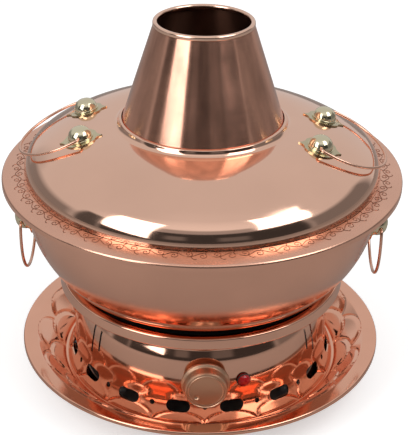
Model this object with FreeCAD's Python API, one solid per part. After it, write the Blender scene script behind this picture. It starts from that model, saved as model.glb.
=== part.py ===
"""Chimney hot pot: a copper bowl with a central chimney and a domed lid, on an electric base.

Millimetres, +Z up. The origin is on the table under the pot's axis, and the control knob
points along -Y. An azimuth is counted from -Y towards +X, in degrees.
"""
import FreeCAD, Part
import math
import os

V = FreeCAD.Vector
UP = V(0, 0, 1)

# ---------------------------------------------------------------- driving dimensions
# tray: a shallow dish that the drum stands in
FOOT_HEIGHT = 8.0              # rubber foot below the tray's floor
FOOT_RADIUS = 9.0
FOOT_TAPER = 1.0               # foot's radius lost towards the table
FOOT_SCREW_RECESS = 1.6        # screw head's bearing face above the foot's recess
FOOT_SCREW_REACH = 4.0         # screw end above the base plate
FOOT_CIRCLE = 104.0
FOOT_AZIMUTHS = (45.0, 135.0, 225.0, 315.0)
TRAY_WALL = 1.0
TRAY_RADIUS = 170.0            # over the rolled edge
TRAY_RIM_WIDTH = 13.0
TRAY_DEPTH = 24.4              # from the rim down to the floor
TRAY_FLOOR_RADIUS = 130.5
TRAY_HOLE_RADIUS = 96.0
TRAY_LIP_DROP = 3.6

# drum: the waisted stand that holds the heater
DRUM_WALL = 1.0
DRUM_HEIGHT = 93.0
DRUM_LIP_RADIUS = 132.5
DRUM_LIP_DEPTH = 9.5           # lip's rounded top down to its lower edge
DRUM_MOUTH_RADIUS = 122.0
DRUM_NECK_RADIUS = 110.5       # undercut below the lip
DRUM_NECK_HEIGHT = 71.0        # undercut above the tray's floor
DRUM_SHOULDER_RADIUS = 115.5
DRUM_WAIST_SHARE = 0.73        # waist's place between the shoulder's and the belly's radius
DRUM_BELLY_RADIUS = 121.0
DRUM_FOOT_RADIUS = 128.5
DRUM_LEDGE_DEPTH = 11.5        # lip top down to the ledge under the seat ring
DRUM_LEDGE_WIDTH = 9.0
DRUM_FLANGE_WIDTH = 12.5
DRUM_SCREW_REACH = 4.0         # screw end above the foot flange
DRUM_SCREW_AZIMUTHS = (30.0, 90.0, 150.0, 210.0, 270.0, 330.0)
SLOT_COUNT = 16
SLOT_LENGTH = 21.6
SLOT_WIDTH = 10.4
SLOT_HEIGHT = 16.0             # slot centre above the tray's floor
PORT_DIAMETER = 4.6            # small round holes between the slots
SLIT_WIDTH = 2.3
SLIT_ANGLES = (53.0, 58.3)
SLIT_LENGTHS = (20.0, 32.0)
SLIT_HEIGHT = 52.0             # slit centre above the tray's floor
PUNCH_REACH = 8.0              # how far a cutter reaches on either side of the wall

# bowl
BOWL_WALL = 1.2
BOWL_SINK = 3.5                # bowl floor below the top of the drum's lip
BOWL_DEPTH = 104.5             # bowl floor up to the rim plane
BOWL_RADIUS = 161.0
BOWL_FLOOR_CORNER = 120.0      # where the floor's and the flank's lines meet
BOWL_FLANK_HEIGHT = 45.6       # where the flank's and the wall's lines meet
BOWL_FLOOR_BEND = 44.8
BOWL_FLANK_BEND = 107.0
BOWL_NECK_RADIUS = 157.5
BOWL_STEP_HEIGHT = 89.0        # start of the inward step under the rim
RIM_RADIUS = 180.0
RIM_CROWN = 2.0                # the rim's inner edge stands higher than its outer edge
RIM_LIP_DROP = 4.0

# chimney
CHIMNEY_WALL = 1.2
CHIMNEY_RISE = 138.3           # rim plane up to the chimney's mouth
CHIMNEY_TOP_RADIUS = 42.5
CHIMNEY_TAPER = 0.325          # radius gained for each millimetre down
CHIMNEY_FOOT_RADIUS = 88.0
CHIMNEY_LIP_HEIGHT = 4.2
CHIMNEY_LIP_OUTER = 44.2
CHIMNEY_LIP_INNER = 40.0

# lid
LID_WALL = 1.0
LID_OVERHANG = 2.5             # lid's edge beyond the bowl's neck
LID_SHOULDER_HEIGHT = 13.4     # shoulder corner above the lid's lower edge
LID_SHOULDER_BEND = 24.0
LID_CROWN_RADIUS = 118.2       # crown corner
LID_CROWN_HEIGHT = 40.4        # crown corner above the lid's lower edge
LID_CROWN_BEND = 120.0
LID_COLLAR_HEIGHT = 47.0       # collar's top above the lid's lower edge
LID_COLLAR_FOOT = 42.0         # collar's foot above the lid's lower edge
LID_COLLAR_CLEARANCE = 1.8     # collar to chimney
LID_GUIDE_DEPTH = 8.0
LID_GUIDE_CLEARANCE = 1.9      # guide ring to the bowl's neck

# rosettes and wire bails
ROSETTE_RADIUS = 15.5
ROSETTE_TIP = 19.2             # pointed ends beyond the round plate
ROSETTE_TIP_ANGLE = 32.0       # where a pointed end leaves the round outline
ROSETTE_NOTCH = 1.3            # radius of the scroll notches beside the pointed ends
ROSETTE_THICKNESS = 1.2
DOME_RADIUS = 10.5
DOME_FLATTENING = 0.5          # how far the dome's centre lies under its plate's top
DOME_FOOT = 0.8                # step around the dome's foot
EYE_HEIGHT = 3.5               # bail's axis above the plate
PAIR_HALF_SPACING = 31.4
BAIL_RADIUS = 47.5
BAIL_CENTRE = 14.0             # centre of the bail's arc beyond its hinge axis
BAIL_BEND = 3.6                # bend into the eye
BAIL_PIN_DEPTH = 5.6           # wire end inside its dome
EYE_END_GAP = 0.4
LID_WIRE = 2.4
BOWL_WIRE = 2.8
LID_PAIR_RADIUS = 110.5
LID_PAIR_AZIMUTHS = {"left": -91.9, "right": 80.1}
LID_BAIL_LIFT = 8.86           # angle by which the folded bails stand off the lid's flank
BOWL_PAIR_DROP = 38.0          # rosette centres below the rim plane
BOWL_PAIR_AZIMUTHS = {"left": -93.0, "right": 86.6}
RIVET_SHANK = 3.0
RIVET_HEAD = 6.4
RIVET_HEAD_HEIGHT = 1.8
RIVET_GRIP = 4.0               # shank inside the dome

# heater
PLATE_THICKNESS = 14.0
STUD_DEPTH = 8.0               # studs' length inside the heating plate
SEAT_RING_HEIGHT = 7.0
SEAT_RING_INNER = 104.0
ELEMENT_CIRCLE = 78.0
ELEMENT_TUBE = 7.0
ELEMENT_GAP_ANGLE = 40.0
ELEMENT_TAIL = 15.0
ELEMENT_PIN_RADIUS = 1.6
ELEMENT_PIN_LENGTH = 8.0
SHIELD_WALL = 0.6
SHIELD_DEPTH = 15.5
SHIELD_RADIUS = 98.0
SHIELD_HOLE_RADIUS = 18.0
SHIELD_FLANGE_WIDTH = 4.5
SHIELD_HOLE_GAP = 1.5          # around the element's tails
POST_RADIUS = 4.5
POST_CIRCLE = 89.5
POST_TAP = 9.0                 # depth of the threads in a post's ends
POST_SHOULDER = 2.0            # step that carries the heat shield
POST_AZIMUTHS = (30.0, 150.0, 270.0)
BASE_PLATE_RADIUS = 112.0
BASE_PLATE_THICKNESS = 1.2
VENT_COUNT = 8
VENT_CIRCLE = 42.0
VENT_LENGTH = 26.0
VENT_WIDTH = 4.0

# controls
CONTROL_HEIGHT = 52.8          # knob's axis above the table
LAMP_HEIGHT = 48.8
KNOB_RADIUS = 21.4
KNOB_DEPTH = 14.0
KNOB_FACE_SINK = 0.6           # face behind the knob's crest ring
KNOB_GAP = 3.0                 # knob's back to the drum's wall
SHAFT_RADIUS = 3.0
SHAFT_CLEARANCE = 0.08
SHAFT_HOLE_GAP = 1.5           # shaft to the drum's hole
SHAFT_BORE_DEPTH = 9.0         # shaft's bore in the thermostat
SHAFT_END_GAP = 0.4
SHAFT_CAP = 4.0                # knob's material over the shaft's end
SHAFT_FLAT_START = 1.0         # flat's end in front of the knob's back
KNOB_RELIEF_DEPTH = 3.2
KNOB_RELIEF_WALL = 3.4
KNOB_DIMPLE_PLACE = (-8.2, -6.4)
KNOB_DIMPLE_RADIUS = 3.0
KNOB_DIMPLE_RISE = 1.6         # dimple's centre in front of the knob's face
BRACKET_GAP = 3.6              # thermostat's front to the drum's inner wall
BRACKET_DEPTH = 12.0
BRACKET_HEIGHT = 20.0
BRACKET_MARGIN = 7.0           # bracket beyond each control screw
THERMOSTAT_SIZE = (36.0, 18.0, 30.0)
TAB_WIDTH = 6.3
TAB_LENGTH = 9.0
TAB_THICKNESS = 0.8
TAB_SPACING = 18.0
TAB_RISE = 4.0                 # tabs above the shaft's axis
CONTROL_SCREW_SPACING = 28.0
LAMP_AZIMUTH = 16.5
LAMP_LENS_RADIUS = 6.3
LAMP_BODY_RADIUS = 4.5
LAMP_BODY_LENGTH = 20.0
LAMP_CLIP_RIM = 2.5
LAMP_CLIP_DEPTH = 4.0          # clip's back to the drum's inner wall
LAMP_SEAT_GAP = 0.4            # lens in front of the drum's wall
INLET_HEIGHT = 46.0
INLET_WIDTH = 31.0
INLET_TALL = 24.0
INLET_DEPTH = 24.0
INLET_WALL = 2.2
INLET_BEZEL_STAND = 3.6        # bezel's face beyond the drum's wall
INLET_BEZEL_BORDER = 6.0
INLET_BEZEL_DEPTH = 16.0
INLET_SOCKET_LIFT = 1.0        # socket cutter beyond the bezel's face
INLET_BACK_WALL = 4.0
INLET_PIN_WIDTH = 2.0
INLET_PIN_TALL = 4.0
INLET_PIN_LENGTH = 14.0        # inside the socket
INLET_TAB_LENGTH = 8.0         # behind the inlet
INLET_PIN_PLACES = ((-7.0, 2.5), (0.0, -2.5), (7.0, 2.5))

# fits and fasteners
RUN_GAP = 0.3                  # gap between pieces that lift apart
SCREW_RADIUS = 2.0
SCREW_HEAD = 3.8
SCREW_HEAD_HEIGHT = 2.4
WIRE_RADIUS = 1.4
WIRE_BEND = 9.0
WIRE_LOW = 8.0                 # leads above the base plate
NUT_RADIUS = 4.0
NUT_HEIGHT = 3.2
TAG_THICKNESS = 1.0
EARTH_PLACE = (24.0, 66.0)
FUSE_PLACE = (-40.0, 20.0)
FUSE_RADIUS = 4.0
FUSE_LENGTH = 16.0
FUSE_CLIP_THICKNESS = 1.0

# ---------------------------------------------------------------- derived places
TRAY_FLOOR = FOOT_HEIGHT + TRAY_WALL
TRAY_RIM = TRAY_FLOOR + TRAY_DEPTH
DRUM_TOP = TRAY_FLOOR + DRUM_HEIGHT
DRUM_LEDGE = DRUM_TOP - DRUM_LEDGE_DEPTH
BOWL_FLOOR = DRUM_TOP - BOWL_SINK
RIM_PLANE = BOWL_FLOOR + BOWL_DEPTH
CHIMNEY_TOP = RIM_PLANE + CHIMNEY_RISE
PLATE_TOP = BOWL_FLOOR - RUN_GAP
PLATE_BOTTOM = PLATE_TOP - PLATE_THICKNESS
PLATE_RADIUS = SEAT_RING_INNER - RUN_GAP
BASE_TOP = TRAY_FLOOR + BASE_PLATE_THICKNESS
SLOT_STEP = 360.0 / SLOT_COUNT
DRUM_SCREW_CIRCLE = DRUM_FOOT_RADIUS - DRUM_FLANGE_WIDTH / 2 - 1.0
LID_RADIUS = BOWL_NECK_RADIUS + LID_OVERHANG
RIM_SLOPE = RIM_CROWN / (RIM_RADIUS - BOWL_WALL - BOWL_NECK_RADIUS)
LID_EDGE = RIM_PLANE + RIM_SLOPE * (RIM_RADIUS - BOWL_WALL - LID_RADIUS + LID_WALL) + RUN_GAP
SHIELD_BOTTOM = PLATE_BOTTOM - SHIELD_DEPTH


# ---------------------------------------------------------------- helpers
def polar(radius, azimuth, z=0.0):
    """Point at an azimuth from -Y towards +X."""
    turn = math.radians(azimuth)
    return V(radius * math.sin(turn), -radius * math.cos(turn), z)


def outward(azimuth):
    """Unit vector away from the axis at an azimuth."""
    return polar(1.0, azimuth)


def along(azimuth):
    """Unit vector along the rim at an azimuth."""
    turn = math.radians(azimuth)
    return V(math.cos(turn), math.sin(turn), 0)


def turned(shape, azimuth):
    """Copy of a shape that was drawn at the front, turned to an azimuth."""
    copy = shape.copy()
    copy.rotate(V(0, 0, 0), UP, azimuth)
    return copy


def corner_turn(before, corner, after):
    """Angle by which a path turns at a corner, in radians."""
    return (corner - before).getAngle(after - corner)


def limited_radii(points, radii):
    """Corner radii, made smaller where two bends would share a run."""
    reach = [0.0] * len(points)
    for i in range(1, len(points) - 1):
        turn = corner_turn(points[i - 1], points[i], points[i + 1])
        reach[i] = radii[i] * math.tan(turn / 2)
    share = [1.0] * len(points)
    for i in range(len(points) - 1):
        run = (points[i + 1] - points[i]).Length
        need = reach[i] + reach[i + 1]
        if need > run:
            share[i] = min(share[i], 0.999 * run / need)
            share[i + 1] = min(share[i + 1], 0.999 * run / need)
    return [radius * part for radius, part in zip(radii, share)]


def bent_edges(points, radii):
    """Straight runs joined by tangent arcs, as a list of edges."""
    edges = []
    start = points[0]
    for i in range(1, len(points) - 1):
        corner = points[i]
        back = (points[i - 1] - corner).normalize()
        ahead = (points[i + 1] - corner).normalize()
        half = corner_turn(points[i - 1], corner, points[i + 1]) / 2
        reach = radii[i] * math.tan(half)
        if reach < 1e-3:
            edges.append(Part.LineSegment(start, corner).toShape())
            start = corner
            continue
        first = corner + back * reach
        last = corner + ahead * reach
        middle = corner + (back + ahead).normalize() * (radii[i] / math.cos(half) - radii[i])
        if (first - start).Length > 1e-4:
            edges.append(Part.LineSegment(start, first).toShape())
        edges.append(Part.Arc(first, middle, last).toShape())
        start = last
    edges.append(Part.LineSegment(start, points[-1]).toShape())
    return edges


def offset_points(points, distance):
    """Path beside a flat path in the XZ plane, to its left when distance is positive."""
    sides = []
    for a, b in zip(points, points[1:]):
        run = (b - a).normalize()
        sides.append(V(-run.z, 0, run.x))
    moved = [points[0] + sides[0] * distance]
    for i in range(1, len(points) - 1):
        bisector = (sides[i - 1] + sides[i]).normalize()
        moved.append(points[i] + bisector * (distance / bisector.dot(sides[i])))
    moved.append(points[-1] + sides[-1] * distance)
    return moved


def offset_radii(points, radii, distance):
    """Corner radii of the path beside a flat path."""
    result = list(radii)
    for i in range(1, len(points) - 1):
        before = points[i] - points[i - 1]
        after = points[i + 1] - points[i]
        left_turn = before.x * after.z - before.z * after.x > 0
        change = -distance if left_turn else distance
        result[i] = max(radii[i] + change, 0.0) if radii[i] > 0 else 0.0
    return result


def spun(face):
    """Solid of revolution about the pot's axis."""
    return face.revolve(V(0, 0, 0), UP, 360)


def spun_sheet(corners, thickness):
    """Spun sheet-metal shell. Corners are (radius, height, bend); thickness lies to the left."""
    points = [V(r, 0, z) for r, z, _ in corners]
    radii = limited_radii(points, [bend for _, _, bend in corners])
    beside = offset_points(points, thickness)
    edges = bent_edges(points, radii)
    back = bent_edges(beside, offset_radii(points, radii, thickness))
    edges.append(Part.LineSegment(points[-1], beside[-1]).toShape())
    edges.extend(reversed(back))
    if (beside[0] - points[0]).Length > 1e-6:
        edges.append(Part.LineSegment(beside[0], points[0]).toShape())
    return spun(Part.Face(Part.Wire(Part.__sortEdges__(edges))))


def filled(corners):
    """Solid that fills a spun path up to the axis, for trimming what meets the sheet."""
    points = [V(r, 0, z) for r, z, _ in corners]
    radii = limited_radii(points, [bend for _, _, bend in corners])
    edges = bent_edges(points, radii)
    first, last = points[0], points[-1]
    ring = [last, V(0, 0, last.z), V(0, 0, first.z), first]
    edges.extend(Part.LineSegment(a, b).toShape() for a, b in zip(ring, ring[1:]))
    return spun(Part.Face(Part.Wire(Part.__sortEdges__(edges))))


def ring(outer, inner, bottom, height):
    """Plain ring about the axis."""
    body = Part.makeCylinder(outer, height, V(0, 0, bottom))
    return body.cut(Part.makeCylinder(inner, height, V(0, 0, bottom)))


def rod(radius, start, end):
    """Round bar between two points."""
    return Part.makeCylinder(radius, (end - start).Length, start, end - start)


def wire_rod(points, bend, radius):
    """Round wire along straight runs joined by tangent bends."""
    radii = limited_radii(points, [bend] * len(points))
    path = Part.Wire(bent_edges(points, radii))
    circle = Part.Wire(Part.makeCircle(radius, points[0], points[1] - points[0]))
    return path.makePipeShell([circle], True, False)


def block(size, centre):
    """Box about a centre."""
    corner = centre - V(size[0] / 2, size[1] / 2, size[2] / 2)
    return Part.makeBox(size[0], size[1], size[2], corner)


def screw(seat, axis, length):
    """Pan-head screw: the head stands on the seat point, and the shank runs along the axis."""
    direction = V(axis).normalize()
    head = rod(SCREW_HEAD, seat, seat - direction * SCREW_HEAD_HEIGHT)
    slot = block((0.9, 5.4, 0.9), V(0, 0, 0))
    slot.Placement = FreeCAD.Placement(seat - direction * (SCREW_HEAD_HEIGHT - 0.4),
                                       FreeCAD.Rotation(UP, direction))
    return head.cut(slot).fuse(rod(SCREW_RADIUS, seat, seat + direction * length))


def seat_placement(point, normal, tangent):
    """Placement that stands a piece's +Z along a surface normal."""
    tangent = V(tangent).normalize()
    side = normal.cross(tangent)
    turn = FreeCAD.Matrix(tangent.x, side.x, normal.x, 0, tangent.y, side.y, normal.y, 0,
                          tangent.z, side.z, normal.z, 0, 0, 0, 0, 1)
    return FreeCAD.Placement(point, FreeCAD.Rotation(turn))


# ---------------------------------------------------------------- tray
def tray_corners():
    """Tray's upper surface, from its hole to its rolled edge."""
    edge = TRAY_RADIUS
    return [(TRAY_HOLE_RADIUS, TRAY_FLOOR, 0),
            (TRAY_FLOOR_RADIUS, TRAY_FLOOR, 4.0),
            (TRAY_RADIUS - TRAY_RIM_WIDTH, TRAY_RIM, 3.0),
            (edge, TRAY_RIM, 1.6),
            (edge, TRAY_RIM - TRAY_LIP_DROP, 0)]


def make_tray():
    """Dished tray with screw holes in its floor."""
    tray = spun_sheet(tray_corners(), -TRAY_WALL)
    for azimuth in FOOT_AZIMUTHS:
        tray = tray.cut(rod(SCREW_RADIUS, polar(FOOT_CIRCLE, azimuth, 0),
                            polar(FOOT_CIRCLE, azimuth, TRAY_FLOOR)))
    for azimuth in DRUM_SCREW_AZIMUTHS:
        tray = tray.cut(rod(SCREW_RADIUS, polar(DRUM_SCREW_CIRCLE, azimuth, 0),
                            polar(DRUM_SCREW_CIRCLE, azimuth, TRAY_FLOOR)))
    return tray


# ---------------------------------------------------------------- drum
def drum_corners():
    """Drum's outer surface, from the ledge under the seat ring to the inner foot flange."""
    lip = DRUM_TOP
    foot = TRAY_FLOOR
    waist = DRUM_SHOULDER_RADIUS + DRUM_WAIST_SHARE * (DRUM_BELLY_RADIUS - DRUM_SHOULDER_RADIUS)
    return [(DRUM_MOUTH_RADIUS - DRUM_LEDGE_WIDTH, DRUM_LEDGE, 0),
            (DRUM_MOUTH_RADIUS, DRUM_LEDGE, 0),
            (DRUM_MOUTH_RADIUS, lip, 1.8),
            (DRUM_LIP_RADIUS - 2.0, lip - 0.3, 1.8),
            (DRUM_LIP_RADIUS, lip - DRUM_LIP_DEPTH, 1.2),
            (DRUM_LIP_RADIUS - 3.0, lip - DRUM_LIP_DEPTH - 1.2, 1.2),
            (DRUM_NECK_RADIUS, foot + DRUM_NECK_HEIGHT, 4.0),
            (DRUM_SHOULDER_RADIUS, foot + 0.86 * DRUM_NECK_HEIGHT, 32.0),
            (waist, foot + 0.58 * DRUM_NECK_HEIGHT, 130.0),
            (DRUM_BELLY_RADIUS, foot + 0.27 * DRUM_NECK_HEIGHT, 30.0),
            (DRUM_FOOT_RADIUS, foot + 2.0, 2.2),
            (DRUM_FOOT_RADIUS, foot, 1.2),
            (DRUM_FOOT_RADIUS - DRUM_FLANGE_WIDTH, foot, 0)]


def drum_wall_corners():
    """Drum's outer wall alone, from the lip down to the foot."""
    return drum_corners()[3:12]


def wall_span(height, tall):
    """Smallest and largest outer radius of the drum's wall over a height's neighbourhood."""
    points = [V(r, 0, z) for r, z, _ in drum_wall_corners()]
    radii = limited_radii(points, [bend for _, _, bend in drum_wall_corners()])
    wall = Part.Wire(bent_edges(points, radii))
    low, high = V(0, 0, height - tall / 2), V(2 * DRUM_LIP_RADIUS, 0, height + tall / 2)
    window = Part.Face(Part.makePolygon([low, V(high.x, 0, low.z), high, V(0, 0, high.z), low]))
    box = wall.common(window).optimalBoundingBox()
    return box.XMin, box.XMax


def wall_cut_slot(azimuth, height, length, width):
    """Cutter for a round-ended slot that lies level in the drum's wall."""
    inner, outer = wall_reach(height, width)
    half = (length - width) / 2
    reach = outer - inner
    bar = Part.makeBox(2 * half, reach, width, V(-half, -outer, height - width / 2))
    ends = [Part.makeCylinder(width / 2, reach, V(x, -inner, height), V(0, -1, 0)) for x in (-half, half)]
    return turned(bar.fuse(ends), azimuth)


def wall_reach(height, tall):
    """Radii between which a cutter passes right through the drum's wall."""
    inner, outer = wall_span(height, tall)
    return inner - DRUM_WALL - PUNCH_REACH, outer + PUNCH_REACH


def wall_cut_slit(azimuth, height, length):
    """Cutter for an upright slit in the drum's wall."""
    inner, outer = wall_reach(height, length)
    box = block((SLIT_WIDTH, outer - inner, length), V(0, -(inner + outer) / 2, height))
    return turned(box, azimuth)


def wall_cut_hole(azimuth, height, radius):
    """Cutter for a round hole in the drum's wall."""
    inner, outer = wall_reach(height, 2 * radius)
    return rod(radius, polar(inner, azimuth, height), polar(outer, azimuth, height))


def make_drum():
    """Drum shell with its vents, the control and lamp holes and the inlet's window."""
    drum = spun_sheet(drum_corners(), -DRUM_WALL)
    cutters = []
    for k in range(SLOT_COUNT):
        cutters.append(wall_cut_slot(SLOT_STEP * (k + 0.5), TRAY_FLOOR + SLOT_HEIGHT,
                                     SLOT_LENGTH, SLOT_WIDTH))
        cutters.append(wall_cut_hole(SLOT_STEP * k, TRAY_FLOOR + SLOT_HEIGHT, PORT_DIAMETER / 2))
    for side in (-1, 1):
        for angle, length in zip(SLIT_ANGLES, SLIT_LENGTHS):
            cutters.append(wall_cut_slit(side * angle, TRAY_FLOOR + SLIT_HEIGHT, length))
    cutters.append(wall_cut_hole(0, CONTROL_HEIGHT, SHAFT_RADIUS + SHAFT_HOLE_GAP))
    for side in (-1, 1):
        cutters.append(control_screw_bar(side, SCREW_RADIUS))
    cutters.append(wall_cut_hole(LAMP_AZIMUTH, LAMP_HEIGHT, LAMP_BODY_RADIUS))
    inner, outer = wall_reach(INLET_HEIGHT, INLET_TALL)
    cutters.append(block((INLET_WIDTH, outer - inner, INLET_TALL),
                         V(0, (inner + outer) / 2, INLET_HEIGHT)))
    for azimuth in DRUM_SCREW_AZIMUTHS:
        cutters.append(rod(SCREW_RADIUS, polar(DRUM_SCREW_CIRCLE, azimuth, 0),
                           polar(DRUM_SCREW_CIRCLE, azimuth, BASE_TOP)))
    return drum.cut(Part.Compound(cutters))


def make_seat_ring():
    """Heat-proof ring between the drum's mouth and the heating plate."""
    return ring(DRUM_MOUTH_RADIUS, SEAT_RING_INNER, DRUM_LEDGE, SEAT_RING_HEIGHT)


# ---------------------------------------------------------------- bowl and chimney
def bowl_corners():
    """Bowl's outer surface, from the floor's centre to the rolled edge of the rim."""
    floor = BOWL_FLOOR
    rim_under = RIM_PLANE - BOWL_WALL
    lip = RIM_RADIUS - BOWL_WALL
    return [(0, floor, 0),
            (BOWL_FLOOR_CORNER, floor, BOWL_FLOOR_BEND),
            (BOWL_RADIUS, floor + BOWL_FLANK_HEIGHT, BOWL_FLANK_BEND),
            (BOWL_RADIUS, floor + BOWL_STEP_HEIGHT, 1.6),
            (BOWL_NECK_RADIUS, floor + BOWL_STEP_HEIGHT + 3.6, 1.6),
            (BOWL_NECK_RADIUS, rim_under + RIM_CROWN, 1.6),
            (lip, rim_under, 1.2),
            (lip, rim_under - RIM_LIP_DROP, 0)]


def pair_points(azimuths, radius):
    """Azimuths and radius of the two rosettes of each pair, as (name, azimuth)."""
    half = math.degrees(math.asin(PAIR_HALF_SPACING / radius))
    names = []
    for side, azimuth in azimuths.items():
        front = -1 if side == "right" else 1
        names.append((side + "_front", azimuth + front * half))
        names.append((side + "_rear", azimuth - front * half))
    return names


def make_bowl():
    """Bowl shell with the rivet holes of its rosettes."""
    return drilled(spun_sheet(bowl_corners(), BOWL_WALL), bowl_seats())


def drilled(shell, seats):
    """Shell with a rivet hole at each seat."""
    reach = ROSETTE_THICKNESS + RIVET_GRIP
    return shell.cut(Part.Compound([rod(RIVET_SHANK / 2, point - normal * reach, point + normal * reach)
                                    for _, point, normal in seats]))


def cone_radius(z):
    """Outer radius of the chimney's cone at a height."""
    return CHIMNEY_TOP_RADIUS + CHIMNEY_TAPER * (CHIMNEY_TOP - z)


def make_chimney():
    """Chimney tube: a straight foot inside the bowl and a cone up to the mouth ring."""
    shoulder = CHIMNEY_TOP - (CHIMNEY_FOOT_RADIUS - CHIMNEY_TOP_RADIUS) / CHIMNEY_TAPER
    top = CHIMNEY_TOP - CHIMNEY_LIP_HEIGHT
    return spun_sheet([(CHIMNEY_FOOT_RADIUS, BOWL_FLOOR + BOWL_WALL, 0),
                       (CHIMNEY_FOOT_RADIUS, shoulder, 60.0),
                       (cone_radius(top), top, 0)], CHIMNEY_WALL)


def make_chimney_lip():
    """Rounded ring on the chimney's mouth."""
    bottom = CHIMNEY_TOP - CHIMNEY_LIP_HEIGHT
    body = ring(CHIMNEY_LIP_OUTER, CHIMNEY_LIP_INNER, bottom, CHIMNEY_LIP_HEIGHT)
    edges = [e for e in body.Edges if abs(e.BoundBox.ZMin - CHIMNEY_TOP) < 1e-6
             and abs(e.BoundBox.ZMax - CHIMNEY_TOP) < 1e-6 and e.Closed]
    return body.makeFillet(0.42 * CHIMNEY_LIP_HEIGHT, edges)


# ---------------------------------------------------------------- lid
def lid_corners():
    """Lid's outer surface, from the collar's top to the lower edge."""
    top = LID_EDGE + LID_COLLAR_HEIGHT
    foot = LID_EDGE + LID_COLLAR_FOOT
    gap = LID_COLLAR_CLEARANCE + LID_WALL
    return [(cone_radius(top) + gap, top, 0),
            (cone_radius(foot) + gap, foot, 5.0),
            (LID_CROWN_RADIUS, LID_EDGE + LID_CROWN_HEIGHT, LID_CROWN_BEND),
            (LID_RADIUS, LID_EDGE + LID_SHOULDER_HEIGHT, LID_SHOULDER_BEND),
            (LID_RADIUS, LID_EDGE, 0)]


def surface_seat(corners, start, end, side):
    """Where a spun surface crosses a line in the XZ plane, and its normal on a side of its path."""
    points = [V(r, 0, z) for r, z, _ in corners]
    radii = limited_radii(points, [bend for _, _, bend in corners])
    line = Part.LineSegment(start, end).toShape()
    edge = min(bent_edges(points, radii), key=lambda each: each.distToShape(line)[0])
    point = edge.distToShape(line)[1][0][0]
    run = edge.tangentAt(edge.Curve.parameter(point))
    return point, V(-run.z, 0, run.x) * side


def seats_around(azimuths, point, normal):
    """Rosette seats of both pairs: name, point and normal."""
    seats = []
    for name, azimuth in pair_points(azimuths, point.x):
        lean = outward(azimuth) * normal.x + UP * normal.z
        seats.append((name, polar(point.x, azimuth, point.z), lean))
    return seats


def make_lid():
    """Lid shell with the rivet holes of its rosettes."""
    return drilled(spun_sheet(lid_corners(), -LID_WALL), lid_seats())


def make_lid_guide():
    """Ring under the lid's edge that centres it in the bowl's mouth."""
    outer = LID_RADIUS - LID_WALL
    skirt = BOWL_NECK_RADIUS - BOWL_WALL - LID_GUIDE_CLEARANCE
    guide = spun_sheet([(outer, LID_EDGE, 0), (skirt, LID_EDGE, 0.0),
                        (skirt, LID_EDGE - LID_GUIDE_DEPTH, 0)], -LID_WALL)
    return guide.cut(spun_sheet(lid_corners(), -LID_WALL))


# ---------------------------------------------------------------- rosettes and bails
def lid_seats():
    """Seats of the lid's rosettes."""
    low, high = V(LID_PAIR_RADIUS, 0, LID_EDGE), V(LID_PAIR_RADIUS, 0, CHIMNEY_TOP)
    return seats_around(LID_PAIR_AZIMUTHS, *surface_seat(lid_corners(), low, high, 1))


def bowl_seats():
    """Seats of the bowl's rosettes."""
    height = RIM_PLANE - BOWL_PAIR_DROP
    inner, outer = V(BOWL_FLOOR_CORNER, 0, height), V(RIM_RADIUS, 0, height)
    return seats_around(BOWL_PAIR_AZIMUTHS, *surface_seat(bowl_corners(), inner, outer, -1))


def rosette_outline():
    """Closed outline of a round plate with two pointed ends, its points along X."""
    leave = math.radians(ROSETTE_TIP_ANGLE)
    edges = []
    for end in (0, 180):
        for side in (-1, 1):
            start = polar_flat(ROSETTE_RADIUS, end + side * ROSETTE_TIP_ANGLE)
            reach = 0.48 * (ROSETTE_RADIUS * math.cos(leave) + ROSETTE_TIP)
            middle = polar_flat(reach, end + side * 0.34 * ROSETTE_TIP_ANGLE)
            edges.append(Part.Arc(start, middle, polar_flat(ROSETTE_TIP, end)).toShape())
    for side in (90, 270):
        arc = [polar_flat(ROSETTE_RADIUS, angle)
               for angle in (side - 90 + ROSETTE_TIP_ANGLE, side, side + 90 - ROSETTE_TIP_ANGLE)]
        edges.append(Part.Arc(*arc).toShape())
    return Part.Wire(Part.__sortEdges__(edges))


def polar_flat(radius, angle):
    """Point in the XY plane at an angle from +X."""
    return V(radius * math.cos(math.radians(angle)), radius * math.sin(math.radians(angle)), 0)


def rosette_blank():
    """Flat prism of the plate's outline, notched beside its pointed ends and drilled."""
    half = 4 * ROSETTE_THICKNESS
    blank = Part.Face(rosette_outline()).extrude(V(0, 0, 2 * half))
    holes = [Part.makeCylinder(RIVET_SHANK / 2, 2 * half)]
    for end in (0, 180):
        for side in (-1, 1):
            place = polar_flat(ROSETTE_RADIUS + 0.6 * ROSETTE_NOTCH, end + side * ROSETTE_TIP_ANGLE * 0.8)
            holes.append(Part.makeCylinder(ROSETTE_NOTCH, 2 * half, place))
    blank = blank.cut(Part.Compound(holes))
    blank.translate(V(0, 0, -half))
    return blank


def make_rosette_plate(point, normal, tangent, skin):
    """Plate under a dome, pressed to the curved surface that it lies on."""
    blank = rosette_blank()
    blank.Placement = seat_placement(point, normal, normal.cross(tangent)).multiply(blank.Placement)
    return blank.common(skin)


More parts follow.
